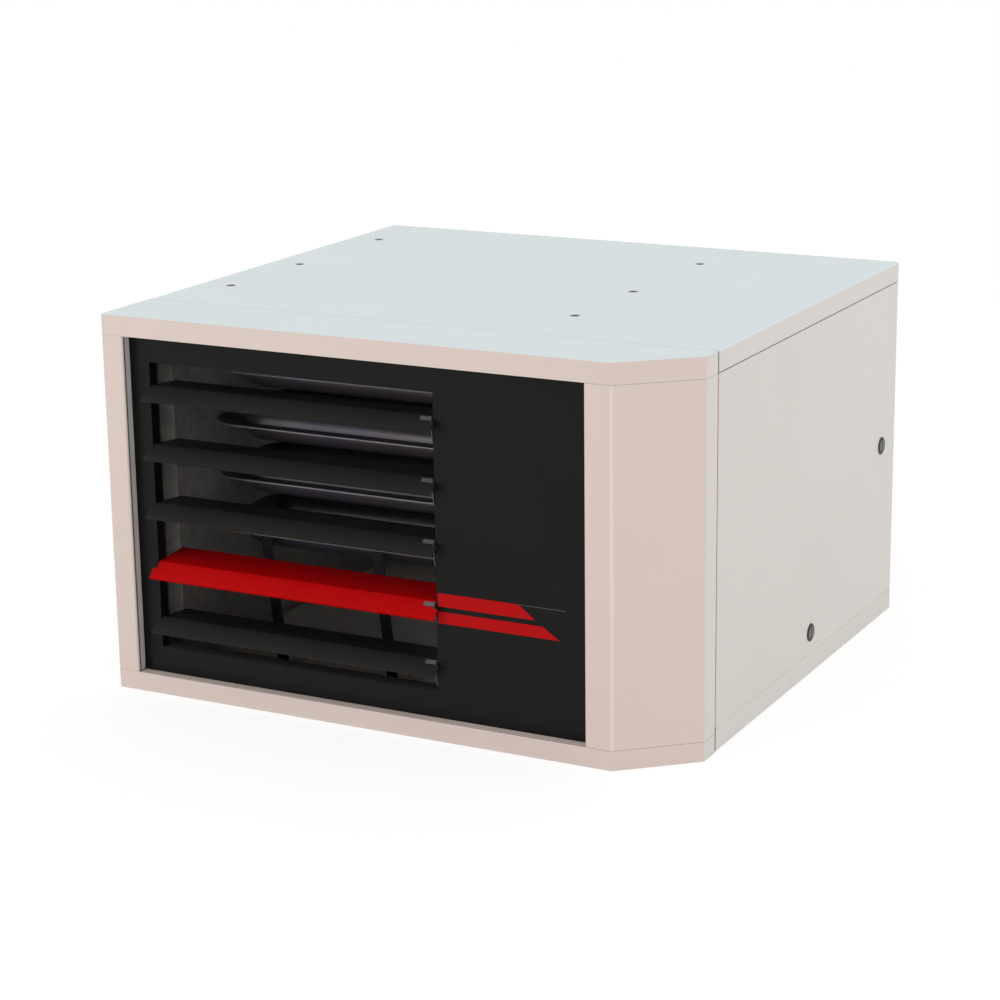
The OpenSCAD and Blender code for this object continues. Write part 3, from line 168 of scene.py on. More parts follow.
class HeaterColours(bpy.types.PropertyGroup):
    """Colours of the coats, films and metals."""

    # One beige paint: the warm front tint and the cool top tint are painted light from the front and from
    # above
    front: shade("Front coat", "Powder coat where it faces the front", linear(223, 206, 197))
    side: shade("Side coat", "Powder coat on the sides, the rear and below", linear(214, 209, 203))
    top: shade("Top coat", "Powder coat where it faces up", linear(222, 233, 234))
    black: shade("Black coat", "Satin coat of the louver panel and blades", linear(17, 17, 16))
    red: shade("Red coat", "Satin coat of the red blade", linear(186, 4, 7))
    stripe: shade("Stripe film", "Red film on the black panel", linear(182, 9, 12))
    zinc: shade("Zinc", "Zinc-plated steel", linear(178, 180, 182))
    liner: shade("Liner", "Dull zinc sheet round the exchanger", linear(164, 162, 157))
    clip: shade("Clip", "Passivated steel of the blade clips", linear(98, 97, 94))
    heat_steel: shade("Heat-tinted steel", "Aluminised steel of the exchanger", linear(106, 102, 109))
    rod: shade("Ceramic", "Insulators of the igniter and flame sensor", linear(236, 232, 224))
    knob: shade("Knob", "Gas valve knob", linear(186, 24, 24))
    strut: shade("Struts", "Pipe below the exchanger cells", linear(26, 25, 27))
    seam: shade("Cell seam", "Folded seam round each exchanger cell", linear(150, 147, 152))
    # Colour of the dark strips of painted shade at the left post's return and in the joints behind the cover
    painted_shade: shade("Painted shade", "Left post's strip and the joint seals", linear(38, 36, 35))
    foam: shade("Foam", "Strip below the door", linear(238, 226, 216))
    trace: shade("Film edge", "Edge of the clear film on the black panel", linear(74, 72, 70))
    rivet: shade("Rivets", "Rivets of the rear panel", linear(196, 196, 198))
    pipe: shade("Gas pipe", "Gas manifold and pipe", linear(58, 58, 62))
    valve: shade("Gas valve", "Die-cast body of the gas valve", linear(176, 176, 178))
    wheel: shade("Inducer wheel", "Aluminium of the inducer wheel", linear(190, 191, 193))
    motor: shade("Inducer motor", "Enamel of the inducer motor", linear(34, 34, 36))
    plastic: shade("Black plastic", "Switches and the cable bushing", linear(28, 28, 29))
    ivory: shade("Ivory plastic", "Plunger, terminal block and connectors", linear(222, 214, 190))
    board: shade("Circuit board", "Solder mask of the circuit board", linear(20, 92, 52))
    relay: shade("Relays", "Relays on the circuit board", linear(34, 58, 112))
    can: shade("Capacitors", "Cans of the capacitors", linear(168, 170, 174))
    iron: shade("Transformer iron", "Core of the transformer", linear(70, 68, 66))
    tape: shade("Coil tape", "Tape round the transformer's coil", linear(196, 150, 60))
    fan: shade("Fan blades", "Aluminium of the fan blades", linear(196, 198, 200))
    fan_motor: shade("Fan motor", "Enamel of the fan motor", linear(32, 32, 34))
    guard: shade("Fan guard", "Coating of the fan guard", linear(24, 24, 26))
    bezel: shade("Bezels", "Rings round the quarter-turn fasteners", linear(30, 30, 32))


class HeaterSizes(bpy.types.PropertyGroup):
    """Sizes of the fine parts that are added to the frame."""

    edge: length("Edge radius", "Rounding of the cut sheet edges", 0.0003)
    rivet: length("Rivet radius", "Radius of the blind rivet heads", 0.0032)
    bead: length("Seam bead", "Radius of the folded bead round each cell", 0.0013)
    key: FloatProperty(name="Key light", description="Power of the big light", default=22, unit="POWER")
    fill: FloatProperty(name="World light", description="Strength of the even light", default=0.8, min=0)


# ---------------------------------------------------------------- shader maths


class Wire:
    """A shader value: operators on it add Math nodes."""

    def __init__(self, finish, socket):
        self.finish, self.socket = finish, socket

    def _math(self, operation, a, b):
        return self.finish.node("ShaderNodeMath", {"operation": operation}, {0: a, 1: b})

    def __add__(self, other):
        return self._math("ADD", self, other)

    def __sub__(self, other):
        return self._math("SUBTRACT", self, other)

    def __rsub__(self, other):
        return self._math("SUBTRACT", other, self)

    def __mul__(self, other):
        return self._math("MULTIPLY", self, other)

    __radd__ = __add__
    __rmul__ = __mul__

    def over(self, level, width):
        """0 below level, 1 above level + width, and a straight ramp between."""
        return self.finish.node(
            "ShaderNodeMapRange",
            {"clamp": True},
            {"Value": self, "From Min": level, "From Max": level + width},
        )


class Finish:
    """A material whose nodes are made by one method."""

    def __init__(self, name, **constants):
        self.material = bpy.data.materials.new(name)
        self.material.use_nodes = True
        self.tree = self.material.node_tree
        self.bsdf = self.tree.nodes["Principled BSDF"]
        for socket, value in constants.items():
            self.bsdf.inputs[socket.replace("_", " ")].default_value = value

    def node(self, kind, settings=None, inputs=None, output=0):
        """Adds a node: its settings first, then the values or links of its sockets."""
        made = self.tree.nodes.new(kind)
        for key, value in (settings or {}).items():
            if key == "stops":
                ramp = made.color_ramp
                while len(ramp.elements) < len(value):
                    ramp.elements.new(0.5)
                for element, (place, colour) in zip(ramp.elements, value):
                    element.position, element.color = place, (*colour, 1)
            else:
                setattr(made, key, value)
        for key, value in (inputs or {}).items():
            socket = made.inputs[key]
            if isinstance(value, Wire):
                self.tree.links.new(value.socket, socket)
            else:
                socket.default_value = value
        return Wire(self, made.outputs[output])

    def place(self, stretch=(1, 1, 1)):
        """Object coordinates, stretched."""
        at = self.node("ShaderNodeTexCoord", output="Object")
        return self.node("ShaderNodeMapping", {"vector_type": "POINT"}, {"Vector": at, "Scale": stretch})

    def noise(self, scale, detail=2, stretch=(1, 1, 1), roughness=0.5):
        """Noise from 0 to 1 on Object coordinates, in cycles per metre."""
        return self.node(
            "ShaderNodeTexNoise",
            {"noise_dimensions": "3D"},
            {"Vector": self.place(stretch), "Scale": scale, "Detail": detail, "Roughness": roughness},
        )

    def cells(self, scale, stretch=(1, 1, 1), output="Color"):
        """Voronoi cells on Object coordinates."""
        return self.node(
            "ShaderNodeTexVoronoi", {}, {"Vector": self.place(stretch), "Scale": scale}, output=output
        )

    def towards(self, direction):
        """1 where the surface faces a direction of the piece, 0 where it lies along it."""
        return self.node(
            "ShaderNodeVectorMath",
            {"operation": "DOT_PRODUCT"},
            {0: self.node("ShaderNodeTexCoord", output="Normal"), 1: direction},
            output="Value",
        )

    def mix(self, factor, a, b):
        """Colour a where factor is 0 and b where it is 1."""
        a, b = (colour if isinstance(colour, Wire) else (*colour, 1) for colour in (a, b))
        return self.node("ShaderNodeMix", {"data_type": "RGBA"}, {0: factor, 6: a, 7: b}, output=2)

    def bump(self, height, distance, strength=1.0):
        """Feeds a bump of that height in metres into Normal."""
        values = {"Height": height, "Distance": distance, "Strength": strength}
        self.link(self.node("ShaderNodeBump", {}, values), "Normal")

    def link(self, wire, socket):
        """Feeds a wire into a socket of the shader."""
        self.tree.links.new(wire.socket, self.bsdf.inputs[socket])
        return self


def scaled(colour, share):
    """A colour made darker or lighter by a share."""
    return tuple(min(1, c * share) for c in colour)


def powder_coat(name, front, side, top, bends=(), roughness=0.42, peel=0.00004, soil=0.05):
    """Powder coat: fine orange peel, broad clouding, faint vertical rubs and specks of dust. Painted light
    tints it warm where it faces the front and cool where it faces up, plain elsewhere, and a painted
    highlight makes it paler on the bends across x."""
    f = Finish(name, Specular_IOR_Level=0.35)
    cloud = f.noise(7, 3)
    rub = f.noise(60, 2, (1, 1, 0.08)).over(0.62, 0.2)
    dust = f.noise(900, 1).over(0.7, 0.1)
    # Painted light: a warm tint on faces towards the front and a cool tint on faces upwards
    base = f.mix(f.towards((0, -1, 0)).over(0.25, 0.3), side, front)
    base = f.mix(f.towards((0, 0, 1)).over(0.3, 0.4), base, top)
    # Painted highlight: a paler band along each bend
    for bend in bends:
        across = f.node("ShaderNodeSeparateXYZ", {}, {"Vector": f.place()}) - bend
        bend_highlight = f.node("ShaderNodeMath", {"operation": "ABSOLUTE"}, {0: across}).over(BEND_HIGHLIGHT_HALF, -BEND_HIGHLIGHT_HALF)
        base = f.mix(bend_highlight * 0.45, base, scaled(front, 1.35))
    dull = f.mix(0.15, base, (0, 0, 0))
    base = f.mix(cloud * 0.25, base, dull)
    base = f.mix(rub * soil, base, dull)
    f.link(f.mix(dust * 0.6, base, dull), "Base Color")
    f.link(cloud * 0.08 + rub * 0.05 + (roughness - 0.04), "Roughness")
    f.bump(f.noise(1100, 2), peel, 0.6)
    return f.material


def satin_black(name, colour, roughness=0.4, lit_top=0.25):
    """Satin black coat: finer peel, a soft sheen, specks of pale dust, and painted light that makes it paler
    where it faces up.
    """
    f = Finish(name, Specular_IOR_Level=0.12)
    cloud = f.noise(14, 4)
    dust = f.noise(1500, 2).over(0.6, 0.2)
    base = f.mix(cloud.over(0.45, 0.4) * 0.35, colour, scaled(colour, 1.5))
    # Painted light: faces that point up are made paler, by the given share
    base = f.mix(f.towards((0, 0, 1)).over(0.7, 0.25) * lit_top, base, scaled(colour, 9))
    f.link(f.mix(dust * 0.06, base, scaled(colour, 5)), "Base Color")
    f.link(cloud * 0.14 + (roughness - 0.07), "Roughness")
    f.bump(f.noise(1300, 2), 0.00003, 0.5)
    return f.material


def red_coat(name, colour):
    """Satin red coat of the accent blade."""
    f = Finish(name, Specular_IOR_Level=0.04)
    cloud = f.noise(16, 3)
    f.link(f.mix(cloud, scaled(colour, 0.86), scaled(colour, 1.06)), "Base Color")
    f.link(cloud * 0.1 + 0.34, "Roughness")
    f.bump(f.noise(1200, 2), 0.00003, 0.5)
    return f.material


def film(name, colour):
    """Thin plastic film: even colour with faint trapped air."""
    f = Finish(name, Specular_IOR_Level=0.08)
    air = f.noise(240, 2).over(0.66, 0.1)
    f.link(f.mix(air * 0.15, colour, scaled(colour, 1.3)), "Base Color")
    f.link(f.noise(30, 2) * 0.12 + 0.34, "Roughness")
    f.bump(air, 0.00003, 0.4)
    return f.material


def spangled(name, colour, roughness=0.34, scale=120, metallic=1.0):
    """Zinc-coated sheet: frost-like spangles that differ in tone and gloss, with fine drawing lines."""
    f = Finish(name)
    f.bsdf.inputs["Metallic"].default_value = metallic
    spangle = f.node("ShaderNodeSeparateColor", {}, {"Color": f.cells(scale)})
    lines = f.noise(500, 3, (1, 0.06, 1))
    base = f.mix(spangle, scaled(colour, 0.84), scaled(colour, 1.08))
    f.link(f.mix(f.noise(9, 3).over(0.55, 0.3) * 0.3, base, scaled(colour, 0.7)), "Base Color")
    f.link(spangle * 0.14 + lines * 0.1 + (roughness - 0.12), "Roughness")
    f.bump(lines, 0.00002, 0.5)
    return f.material


def heat_tinted(name, colour):
    """Aluminised steel that has been hot: dull grey with tinted clouds, streaks and specks of soot."""
    f = Finish(name)
    f.bsdf.inputs["Metallic"].default_value = 0.75
    cloud = f.noise(9, 4)
    tint = f.node("ShaderNodeValToRGB", {"stops": [(0.3, scaled(colour, 0.85)), *TEMPER]}, {"Fac": cloud})
    soot = f.noise(160, 3).over(0.6, 0.15)
    streak = f.noise(30, 4, (0.25, 1, 1)).over(0.42, 0.3)
    base = f.mix(f.noise(5, 2).over(0.35, 0.4) * 0.8, colour, tint)
    base = f.mix(streak * 0.45, base, scaled(colour, 0.55))
    f.link(f.mix(soot * 0.25, base, scaled(colour, 0.4)), "Base Color")
    f.link(cloud * 0.2 + 0.32, "Roughness")
    f.bump(f.noise(700, 3), 0.00003, 0.6)
    return f.material


def pipe_steel(name, colour):
    """Dark pipe and cast iron: mill scale with a fine grain."""
    f = Finish(name)
    f.bsdf.inputs["Metallic"].default_value = 0.6
    scale = f.noise(60, 5)
    f.link(f.mix(scale, scaled(colour, 0.6), scaled(colour, 1.6)), "Base Color")
    f.link(scale * 0.3 + 0.4, "Roughness")
    f.bump(f.noise(500, 4), 0.00008, 0.7)
    return f.material


def cast_alloy(name, colour, roughness=0.42):
    """Die-cast or rolled aluminium: pale, with a blasted grain."""
    f = Finish(name)
    f.bsdf.inputs["Metallic"].default_value = 1.0
    cloud = f.noise(40, 3)
    f.link(f.mix(cloud, scaled(colour, 0.85), scaled(colour, 1.05)), "Base Color")
    f.link(cloud * 0.15 + (roughness - 0.07), "Roughness")
    f.bump(f.noise(1500, 2), 0.00003, 0.6)
    return f.material


def moulded(name, colour, roughness=0.45, grain=0.00004):
    """Moulded plastic or enamel: a fine spark texture."""
    f = Finish(name, Specular_IOR_Level=0.5)
    cloud = f.noise(30, 2)
    f.link(f.mix(cloud, scaled(colour, 0.92), scaled(colour, 1.06)), "Base Color")
    f.link(cloud * 0.12 + (roughness - 0.06), "Roughness")
    f.bump(f.noise(1700, 2), grain, 0.5)
    return f.material


# ---------------------------------------------------------------- meshes


def solid(name, points, faces, material, body, slot_name, smooth=30):
    """A piece from arrays of points (n, 3) and faces: it rides on a body and takes the given finish;
    slot_name is not used.
    """
    mesh = bpy.data.meshes.new(name)
    mesh.from_pydata(np.asarray(points, float).tolist(), [], [list(map(int, f)) for f in faces])
    piece = bpy.data.objects.new(name, mesh)
    bpy.context.scene.collection.objects.link(piece)
    tidy(mesh, smooth)
    mesh.materials.append(material)
    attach(piece, body)
    return piece


def tidy(mesh, smooth):
    """Merges doubles, turns the faces outwards and shades smooth below an angle in degrees."""
    work = bmesh.new()
    work.from_mesh(mesh)
    bmesh.ops.remove_doubles(work, verts=work.verts, dist=1e-6)
    bmesh.ops.recalc_face_normals(work, faces=work.faces)
    work.to_mesh(mesh)
    work.free()
    shade_smooth(mesh, smooth)


def shade_smooth(mesh, angle):
    """Smooth faces with sharp edges where the surface turns by more than the angle in degrees."""
    mesh.polygons.foreach_set("use_smooth", np.ones(len(mesh.polygons), bool))
    mesh.set_sharp_from_angle(angle=math.radians(angle))


def grid_faces(rows, columns, wrap=True, offset=0):
    """Quads of a grid of rows by columns, numbered row by row; wrap closes each row into a ring."""
    i, j = np.meshgrid(np.arange(rows - 1), np.arange(columns if wrap else columns - 1), indexing="ij")
    a = i * columns + j
    b = i * columns + (j + 1) % columns
    return (np.stack([a, b, b + columns, a + columns], -1).reshape(-1, 4) + offset).tolist()


def lathe(profile, centre, axis, sides=48):
    """Surface of revolution: a point of the profile (radius, height) is turned round the axis.
    p(k, t) = centre + height_k * axis + radius_k * (cos t * u + sin t * v)."""
    profile = np.asarray(profile, float)
    axis = np.asarray(axis, float) / np.linalg.norm(axis)
    u = np.cross(axis, [0.0, 0.0, 1.0] if abs(axis[2]) < 0.9 else [0.0, 1.0, 0.0])
    u /= np.linalg.norm(u)
    v = np.cross(axis, u)
    t = np.linspace(0, 2 * np.pi, sides, endpoint=False)
    ring = np.cos(t)[:, None] * u + np.sin(t)[:, None] * v
    points = centre + profile[:, 1, None, None] * axis + profile[:, 0, None, None] * ring
    return points.reshape(-1, 3), grid_faces(len(profile), sides)


def disc(radius, sides=10):
    """Outline of a round section: radius * (cos t, sin t)."""
    t = np.linspace(0, 2 * np.pi, sides, endpoint=False)
    return radius * np.stack([np.cos(t), np.sin(t)], -1)


def slab(width, height, corner, steps=3):
    """Outline of a flat section with rounded corners: corner centre + corner * (cos t, sin t)."""
    t = np.radians(np.linspace(0, 90, steps) + np.arange(4)[:, None] * 90)
    middle = np.array([[1, 1], [-1, 1], [-1, -1], [1, -1]]) * (np.array([width, height]) / 2 - corner)
    return (middle[:, None] + corner * np.stack([np.cos(t), np.sin(t)], -1)).reshape(-1, 2)


def carried(section, path):
    """A section carried along an open path, square to the mean direction at each point, with closed ends.
    p(k, s) = path_k + s_x * across_k + s_y * up_k."""
    section, path = np.asarray(section, float), np.asarray(path, float)
    sides, count = len(section), len(path)
    step = np.diff(path, axis=0)
    step /= np.linalg.norm(step, axis=1)[:, None]
    ahead = np.concatenate([step[:1], step]) + np.concatenate([step, step[-1:]])
    ahead /= np.linalg.norm(ahead, axis=1)[:, None]
    across = np.cross(ahead, [0.0, 0.0, 1.0])
    weak = np.linalg.norm(across, axis=1) < 0.2
    across[weak] = np.cross(ahead[weak], [0.0, 1.0, 0.0])
    across /= np.linalg.norm(across, axis=1)[:, None]
    up = np.cross(across, ahead)
    points = path[:, None] + section[:, :1] * across[:, None] + section[:, 1:] * up[:, None]
    ends = [list(range(sides))[::-1], [(count - 1) * sides + j for j in range(sides)]]
    return points.reshape(-1, 3), grid_faces(count, sides) + ends


def joined(parts):
    """Several (points, faces) pairs as one."""
    points, faces, start = [], [], 0
    for p, f in parts:
        points.append(p)
        faces += [[start + i for i in face] for face in f]
        start += len(p)
    return np.concatenate(points), faces


def dressed(node, material, edge=0.0, smooth=30):
    """Stands for a CAD node with the same shape: merged, smooth where round, and with eased edges."""
    source = frame["nodes"][node]
    mesh = source.data.copy()
    mesh.materials.clear()
    mesh.materials.append(material)
    work = bmesh.new()
    work.from_mesh(mesh)
    bmesh.ops.remove_doubles(work, verts=work.verts, dist=MERGE)
    bmesh.ops.dissolve_limit(
        work, angle_limit=math.radians(FLAT), verts=work.verts, edges=work.edges, delimit={"NORMAL"}
    )
    work.to_mesh(mesh)
    work.free()
    for layer in [a.name for a in mesh.attributes if a.name in ("custom_normal", "sharp_face")]:
        mesh.attributes.remove(mesh.attributes[layer])
    piece = bpy.data.objects.new(node + "_dressed", mesh)
    bpy.context.scene.collection.objects.link(piece)
    shade_smooth(mesh, smooth)
    if edge:
        bevel = piece.modifiers.new("Eased edges", "BEVEL")
        bevel.width, bevel.segments = edge, 2
        bevel.limit_method, bevel.angle_limit = "ANGLE", math.radians(EASED)
        bevel.harden_normals = True
        bevel.use_clamp_overlap = True
    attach(piece, BODY[node])
    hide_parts(node)
    return piece


def rivets(name, spots, axis, radius, material, body, slot_name):
    """Blind rivets: a low dome on a thin rim, with the hole of its pulled stem in the middle."""
    profile = np.array(RIVET_PROFILE) * radius
    parts = [lathe(profile, np.array(spot), axis, RIVET_SIDES) for spot in spots]
    return solid(name, *joined(parts), material, body, slot_name, ROUND)


def cell_rim(node, right):
    """Outline of a cell's flat seam, from its right front corner round the left to its right rear corner,
    with what lies beyond the given x drawn back to it."""
    mesh = frame["nodes"][node].data
    points = np.empty(len(mesh.vertices) * 3)
    mesh.vertices.foreach_get("co", points)
    points = points.reshape(-1, 3)
    level = (BOX[node][0][2] + BOX[node][1][2]) / 2
    flat = points[abs(points[:, 2] - level) < CELL_SEAM_HALF]
    hull = flat[convex_hull_2d([Vector(p[:2]) for p in flat])]
    hull = np.roll(hull, -np.argmax(hull[:, 0] - hull[:, 1]), 0)
    if hull[1, 1] > hull[-1, 1]:
        hull = np.roll(hull[::-1], 1, 0)
    hull[:, 2] = level
    hull[:, 0] = np.minimum(hull[:, 0], right)
    return hull


def recoated(piece, material, chosen):
    """Gives another finish to the faces whose middles (n, 3) a test picks."""
    faces = piece.data.polygons
    middles, finish = np.empty(len(faces) * 3), np.empty(len(faces), np.int32)
    faces.foreach_get("center", middles)
    faces.foreach_get("material_index", finish)
    piece.data.materials.append(material)
    finish[chosen(middles.reshape(-1, 3))] = len(piece.data.materials) - 1
    faces.foreach_set("material_index", finish)


def on_board(band, middles):
    """Faces that stand proud of the circuit board, between two shares of its height."""
    low, high = BOX["control_board"]
    share = (middles[:, 2] - low[2]) / (high[2] - low[2])
    return (middles[:, 0] > high[0] - RELAY_H + SKIN) & (share > band[0]) & (share < band[1])


def on_coil(middles):
    """Faces of the transformer's coil: on both sides of its core, and above its foot."""
    low, high = BOX["transformer"]
    off = abs(middles - (low + high) / 2)
    deep = (high[0] - low[0]) * COIL_SHARE + COIL_MARGIN
    return (off[:, 1] > CORE_HALF) & (off[:, 0] < deep) & (middles[:, 2] > low[2] + FOOT_T)


def painted(node, material):
    """Gives a CAD node its finish."""
    slots = frame["nodes"][node].material_slots
    for place in slots:
        place.material = material
    if not slots:
        frame["nodes"][node].data.materials.append(material)


def colours():
    """The colours that are set in the panel."""
    return bpy.context.scene.heater_colours


def sizes():
    """The sizes that are set in the panel."""
    return bpy.context.scene.heater_sizes


# ---------------------------------------------------------------- thin pieces


def strip(name, section, path, material, like):
    """A thin strip on the cabinet; the slot of the CAD node that it is like goes to solid, which does not
    use it.
    """
    return solid(name, *carried(section, path), material, "cabinet", SLOT[like])


def upright(x, y, low, high, count):
    """Points of a straight line upwards."""
    return [(x, y, z) for z in np.linspace(low, high, count)]


def cell_seams(steel, radius):
    """Beads round the cells' flat seams, up to the partition."""
    wall = BOX["partition_wall"][0][0] - radius
    for i in range(1, 5):
        rim = cell_rim(f"exchanger_cell_{i}", wall)
        strip(f"cell_seam_{i}", disc(radius), rim, steel, "exchanger_cell_1")


def post_shade_strip(painted_shade):
    """Dark strip at the left post's return: painted shade of the return's bend."""
    low, high = BOX["front_left_post"]
    x, y = high[0] + POST_OUT, low[1] + POST_IN
    line = upright(x, y, low[2] + POST_END, high[2] - POST_END, POST_POINTS)
    strip("post_shade_strip", slab(*POST_STRIP), line, painted_shade, "louver_panel")


def joint_shade_strips(painted_shade):
    """Dark strips in the joint between the front cover and what stands behind it, one on each side: painted
    shade in the gap.
    """
    low, high = BOX["front_bottom_cap"]
    middle = (high[1] + BOX["service_door"][0][1]) / 2
    top = BOX["front_top_cap"][1][2] - JOINT_END
    for name, x in (("right_joint_shade", high[0] - JOINT_IN), ("left_joint_shade", low[0] + JOINT_IN)):
        line = upright(x, middle, JOINT_END, top, JOINT_POINTS)
        strip(name, slab(*JOINT_STRIP), line, painted_shade, "louver_panel")


def door_gasket(foam):
    """Pale foam strip below the door."""
    low, high = BOX["service_door"]
    along = np.linspace(low[1] + DOOR_FRONT, high[1] - DOOR_REAR, DOOR_POINTS)
    line = [(high[0] - DOOR_IN, y, low[2] - DOOR_UNDER) for y in along]
    strip("door_gasket", slab(*DOOR_STRIP), line, foam, "base_pan")


def film_edge(trace):
    """Fine line of the clear film's edge on the black panel."""
    face = BOX["louver_panel"][0][1] - FILM_OUT
    line = [(x, face, FILM_Z) for x in np.linspace(*FILM_X, FILM_POINTS)]
    strip("film_edge", slab(*FILM_STRIP), line, trace, "accent_stripes")


def cover_paint(thin, same):
    """Strips that close the seams between the cover's posts and caps, in a darkened front colour: painted
    shade, darker at the corner post and fainter at the left.
    """
    low_cap, post, high_cap = (BOX[n] for n in ("front_bottom_cap", "front_corner_post", "front_top_cap"))
    corner = low_cap[0]
    levels = (low_cap[1][2] + post[0][2]) / 2, (post[1][2] + high_cap[0][2]) / 2
    for level, place in zip(levels, ("low", "high")):
        for side, run, paint in (("corner", CORNER_SEAM, thin), ("left", LEFT_SEAM, same)):
            line = [(corner[0] + x / 1000, corner[1] + y / 1000, level) for x, y in run]
            strip(f"{side}_seam_{place}", slab(*SEAM_STRIP), line, paint, "front_corner_post")


def rear_rivets(alloy, radius):
    """Rivets round the rear panel."""
    rear = BOX["rear_panel"][1][1]
    spots = [(x, rear, z) for x in RIVET_ROWS_X for z in RIVET_ROWS_Z]
    spots += [(x, rear, z) for x in RIVET_COLUMNS_X for z in RIVET_COLUMNS_Z]
    rivets("rear_rivets", spots, (0, 1, 0), radius, alloy, "cabinet", SLOT["rear_panel"])


# ---------------------------------------------------------------- stage


def looked_at(tree):
    """A socket that is 1 for rays from the camera, off gloss and through glass, and 0 for the others."""
    path = tree.nodes.new("ShaderNodeLightPath")
    total = path.outputs["Is Camera Ray"]
    for other in ("Is Glossy Ray", "Is Transmission Ray"):
        either = tree.nodes.new("ShaderNodeMath")
        either.operation = "MAXIMUM"
        tree.links.new(total, either.inputs[0])
        tree.links.new(path.outputs[other], either.inputs[1])
        total = either.outputs[0]
    return total


def floor_finish():
    """Pale floor: plain for the light that it throws back, white with a faint shadow where it is seen."""
    material = bpy.data.materials.new("White floor")
    material.use_nodes = True
    tree = material.node_tree
    plain = tree.nodes["Principled BSDF"]
    plain.inputs["Base Color"].default_value = (0.93, 0.93, 0.93, 1)
    plain.inputs["Roughness"].default_value = 0.9
    plain.inputs["Specular IOR Level"].default_value = 0
    glow = tree.nodes.new("ShaderNodeEmission")
    glow.inputs["Strength"].default_value = FLOOR_GLOW
    faint = tree.nodes.new("ShaderNodeMixShader")
    faint.inputs["Fac"].default_value = FLOOR_SHADOW
    pick = tree.nodes.new("ShaderNodeMixShader")
    tree.links.new(glow.outputs["Emission"], faint.inputs[1])
    tree.links.new(plain.outputs["BSDF"], faint.inputs[2])
    tree.links.new(looked_at(tree), pick.inputs["Fac"])
    tree.links.new(plain.outputs["BSDF"], pick.inputs[1])
    tree.links.new(faint.outputs["Shader"], pick.inputs[2])
    tree.links.new(pick.outputs["Shader"], tree.nodes["Material Output"].inputs["Surface"])
    return material


def floor():
    """Flat square floor under the object."""
    mesh = bpy.data.meshes.new("Floor")
    corners = [(x * FLOOR_HALF, y * FLOOR_HALF, 0) for x, y in ((-1, -1), (1, -1), (1, 1), (-1, 1))]
    mesh.from_pydata(corners, [], [(0, 1, 2, 3)])
    plane = bpy.data.objects.new("Floor", mesh)
    bpy.context.scene.collection.objects.link(plane)
    mesh.materials.append(floor_finish())


def pale_studio(strength):
    """World of even light, plain white where it is seen."""
    world = bpy.data.worlds.new("Pale studio")
    world.use_nodes = True
    tree = world.node_tree
    even = tree.nodes["Background"]
    even.inputs["Strength"].default_value = strength
    seen = tree.nodes.new("ShaderNodeBackground")
    for white in (even, seen):
        white.inputs["Color"].default_value = (1, 1, 1, 1)
    pick = tree.nodes.new("ShaderNodeMixShader")
    tree.links.new(looked_at(tree), pick.inputs["Fac"])
    tree.links.new(even.outputs["Background"], pick.inputs[1])
    tree.links.new(seen.outputs["Background"], pick.inputs[2])
    tree.links.new(pick.outputs["Shader"], tree.nodes["World Output"].inputs["Surface"])
    return world


def photo_camera():
    """Camera at the photograph's place: ahead = (-sin a cos e, cos a cos e, -sin e), then rolled."""
    camera = bpy.data.cameras.new("Photo camera")
    camera.lens, camera.sensor_width = CAMERA_LENS, SENSOR_WIDTH
    eye = bpy.data.objects.new("Photo camera", camera)
    bpy.context.scene.collection.objects.link(eye)
    azimuth, elevation, roll = (math.radians(a) for a in CAMERA_TURN)
    level = math.cos(elevation)
    ahead = Vector((-math.sin(azimuth) * level, math.cos(azimuth) * level, -math.sin(elevation)))
    eye.matrix_world = (
        Matrix.Translation(CAMERA_PLACE)
        @ ahead.to_track_quat("-Z", "Y").to_matrix().to_4x4()
        @ Matrix.Rotation(roll, 4, "Z")
    )
    return eye


def soft_light(name, place, size, power):
    """Square area light that points at the object's middle."""
    lamp = bpy.data.lights.new(name, "AREA")
    lamp.energy, lamp.size = power, size
    holder = bpy.data.objects.new(name, lamp)
    bpy.context.scene.collection.objects.link(holder)
    holder.location = place
    aim = Vector(LIGHT_AIM) - Vector(place)
    holder.rotation_mode = "QUATERNION"
    holder.rotation_quaternion = aim.to_track_quat("-Z", "Y")


# ---------------------------------------------------------------- operators


class HEATER_OT_cabinet(bpy.types.Operator):
    """Coat the cabinet's sheets and ease their edges"""

    bl_idname = "heater.cabinet"
    bl_label = "Cabinet"

    def execute(self, context):
        c, s = colours(), sizes()
        coat = powder_coat("Beige powder coat", c.front, c.side, c.top)
        for node in COATED:
            dressed(node, coat, s.edge)
        # The corner post's coat adds a painted highlight along its bend
        highlighted_coat = powder_coat("Corner powder coat with painted highlight", c.front, c.side, c.top, CORNER_BENDS)
        dressed("front_corner_post", highlighted_coat, s.edge)
        # Painted light: the lower cap's upward faces take the front tint and the base's the side tint
        dressed("front_bottom_cap", powder_coat("Lower cap powder coat", c.front, c.side, c.front), s.edge)
        dressed("base_pan", powder_coat("Base powder coat", c.front, c.side, c.side), s.edge)
        return {"FINISHED"}


class HEATER_OT_louvers(bpy.types.Operator):
    """Coat the black panel and the blades, and lay the stripes"""

    bl_idname = "heater.louvers"
    bl_label = "Louvers and panel"

    def execute(self, context):
        c, s = colours(), sizes()
        black = satin_black("Black satin coat", scaled(c.black, 2.2), lit_top=0)
        red = red_coat("Red satin coat", c.red)
        clip = spangled("Clip zinc", c.clip, 0.5, 400, 0.6)
        # The panel's upward faces, such as the sill, take painted light
        dressed("louver_panel", satin_black("Black panel coat", c.black, lit_top=1), s.edge)
        for i in range(1, 6):
            dressed(f"louver_{i}", red if i == 2 else black, s.edge / 2)
            dressed(f"louver_clip_{i}", clip, s.edge / 4)
        painted("accent_stripes", film("Stripe film", c.stripe))
        return {"FINISHED"}


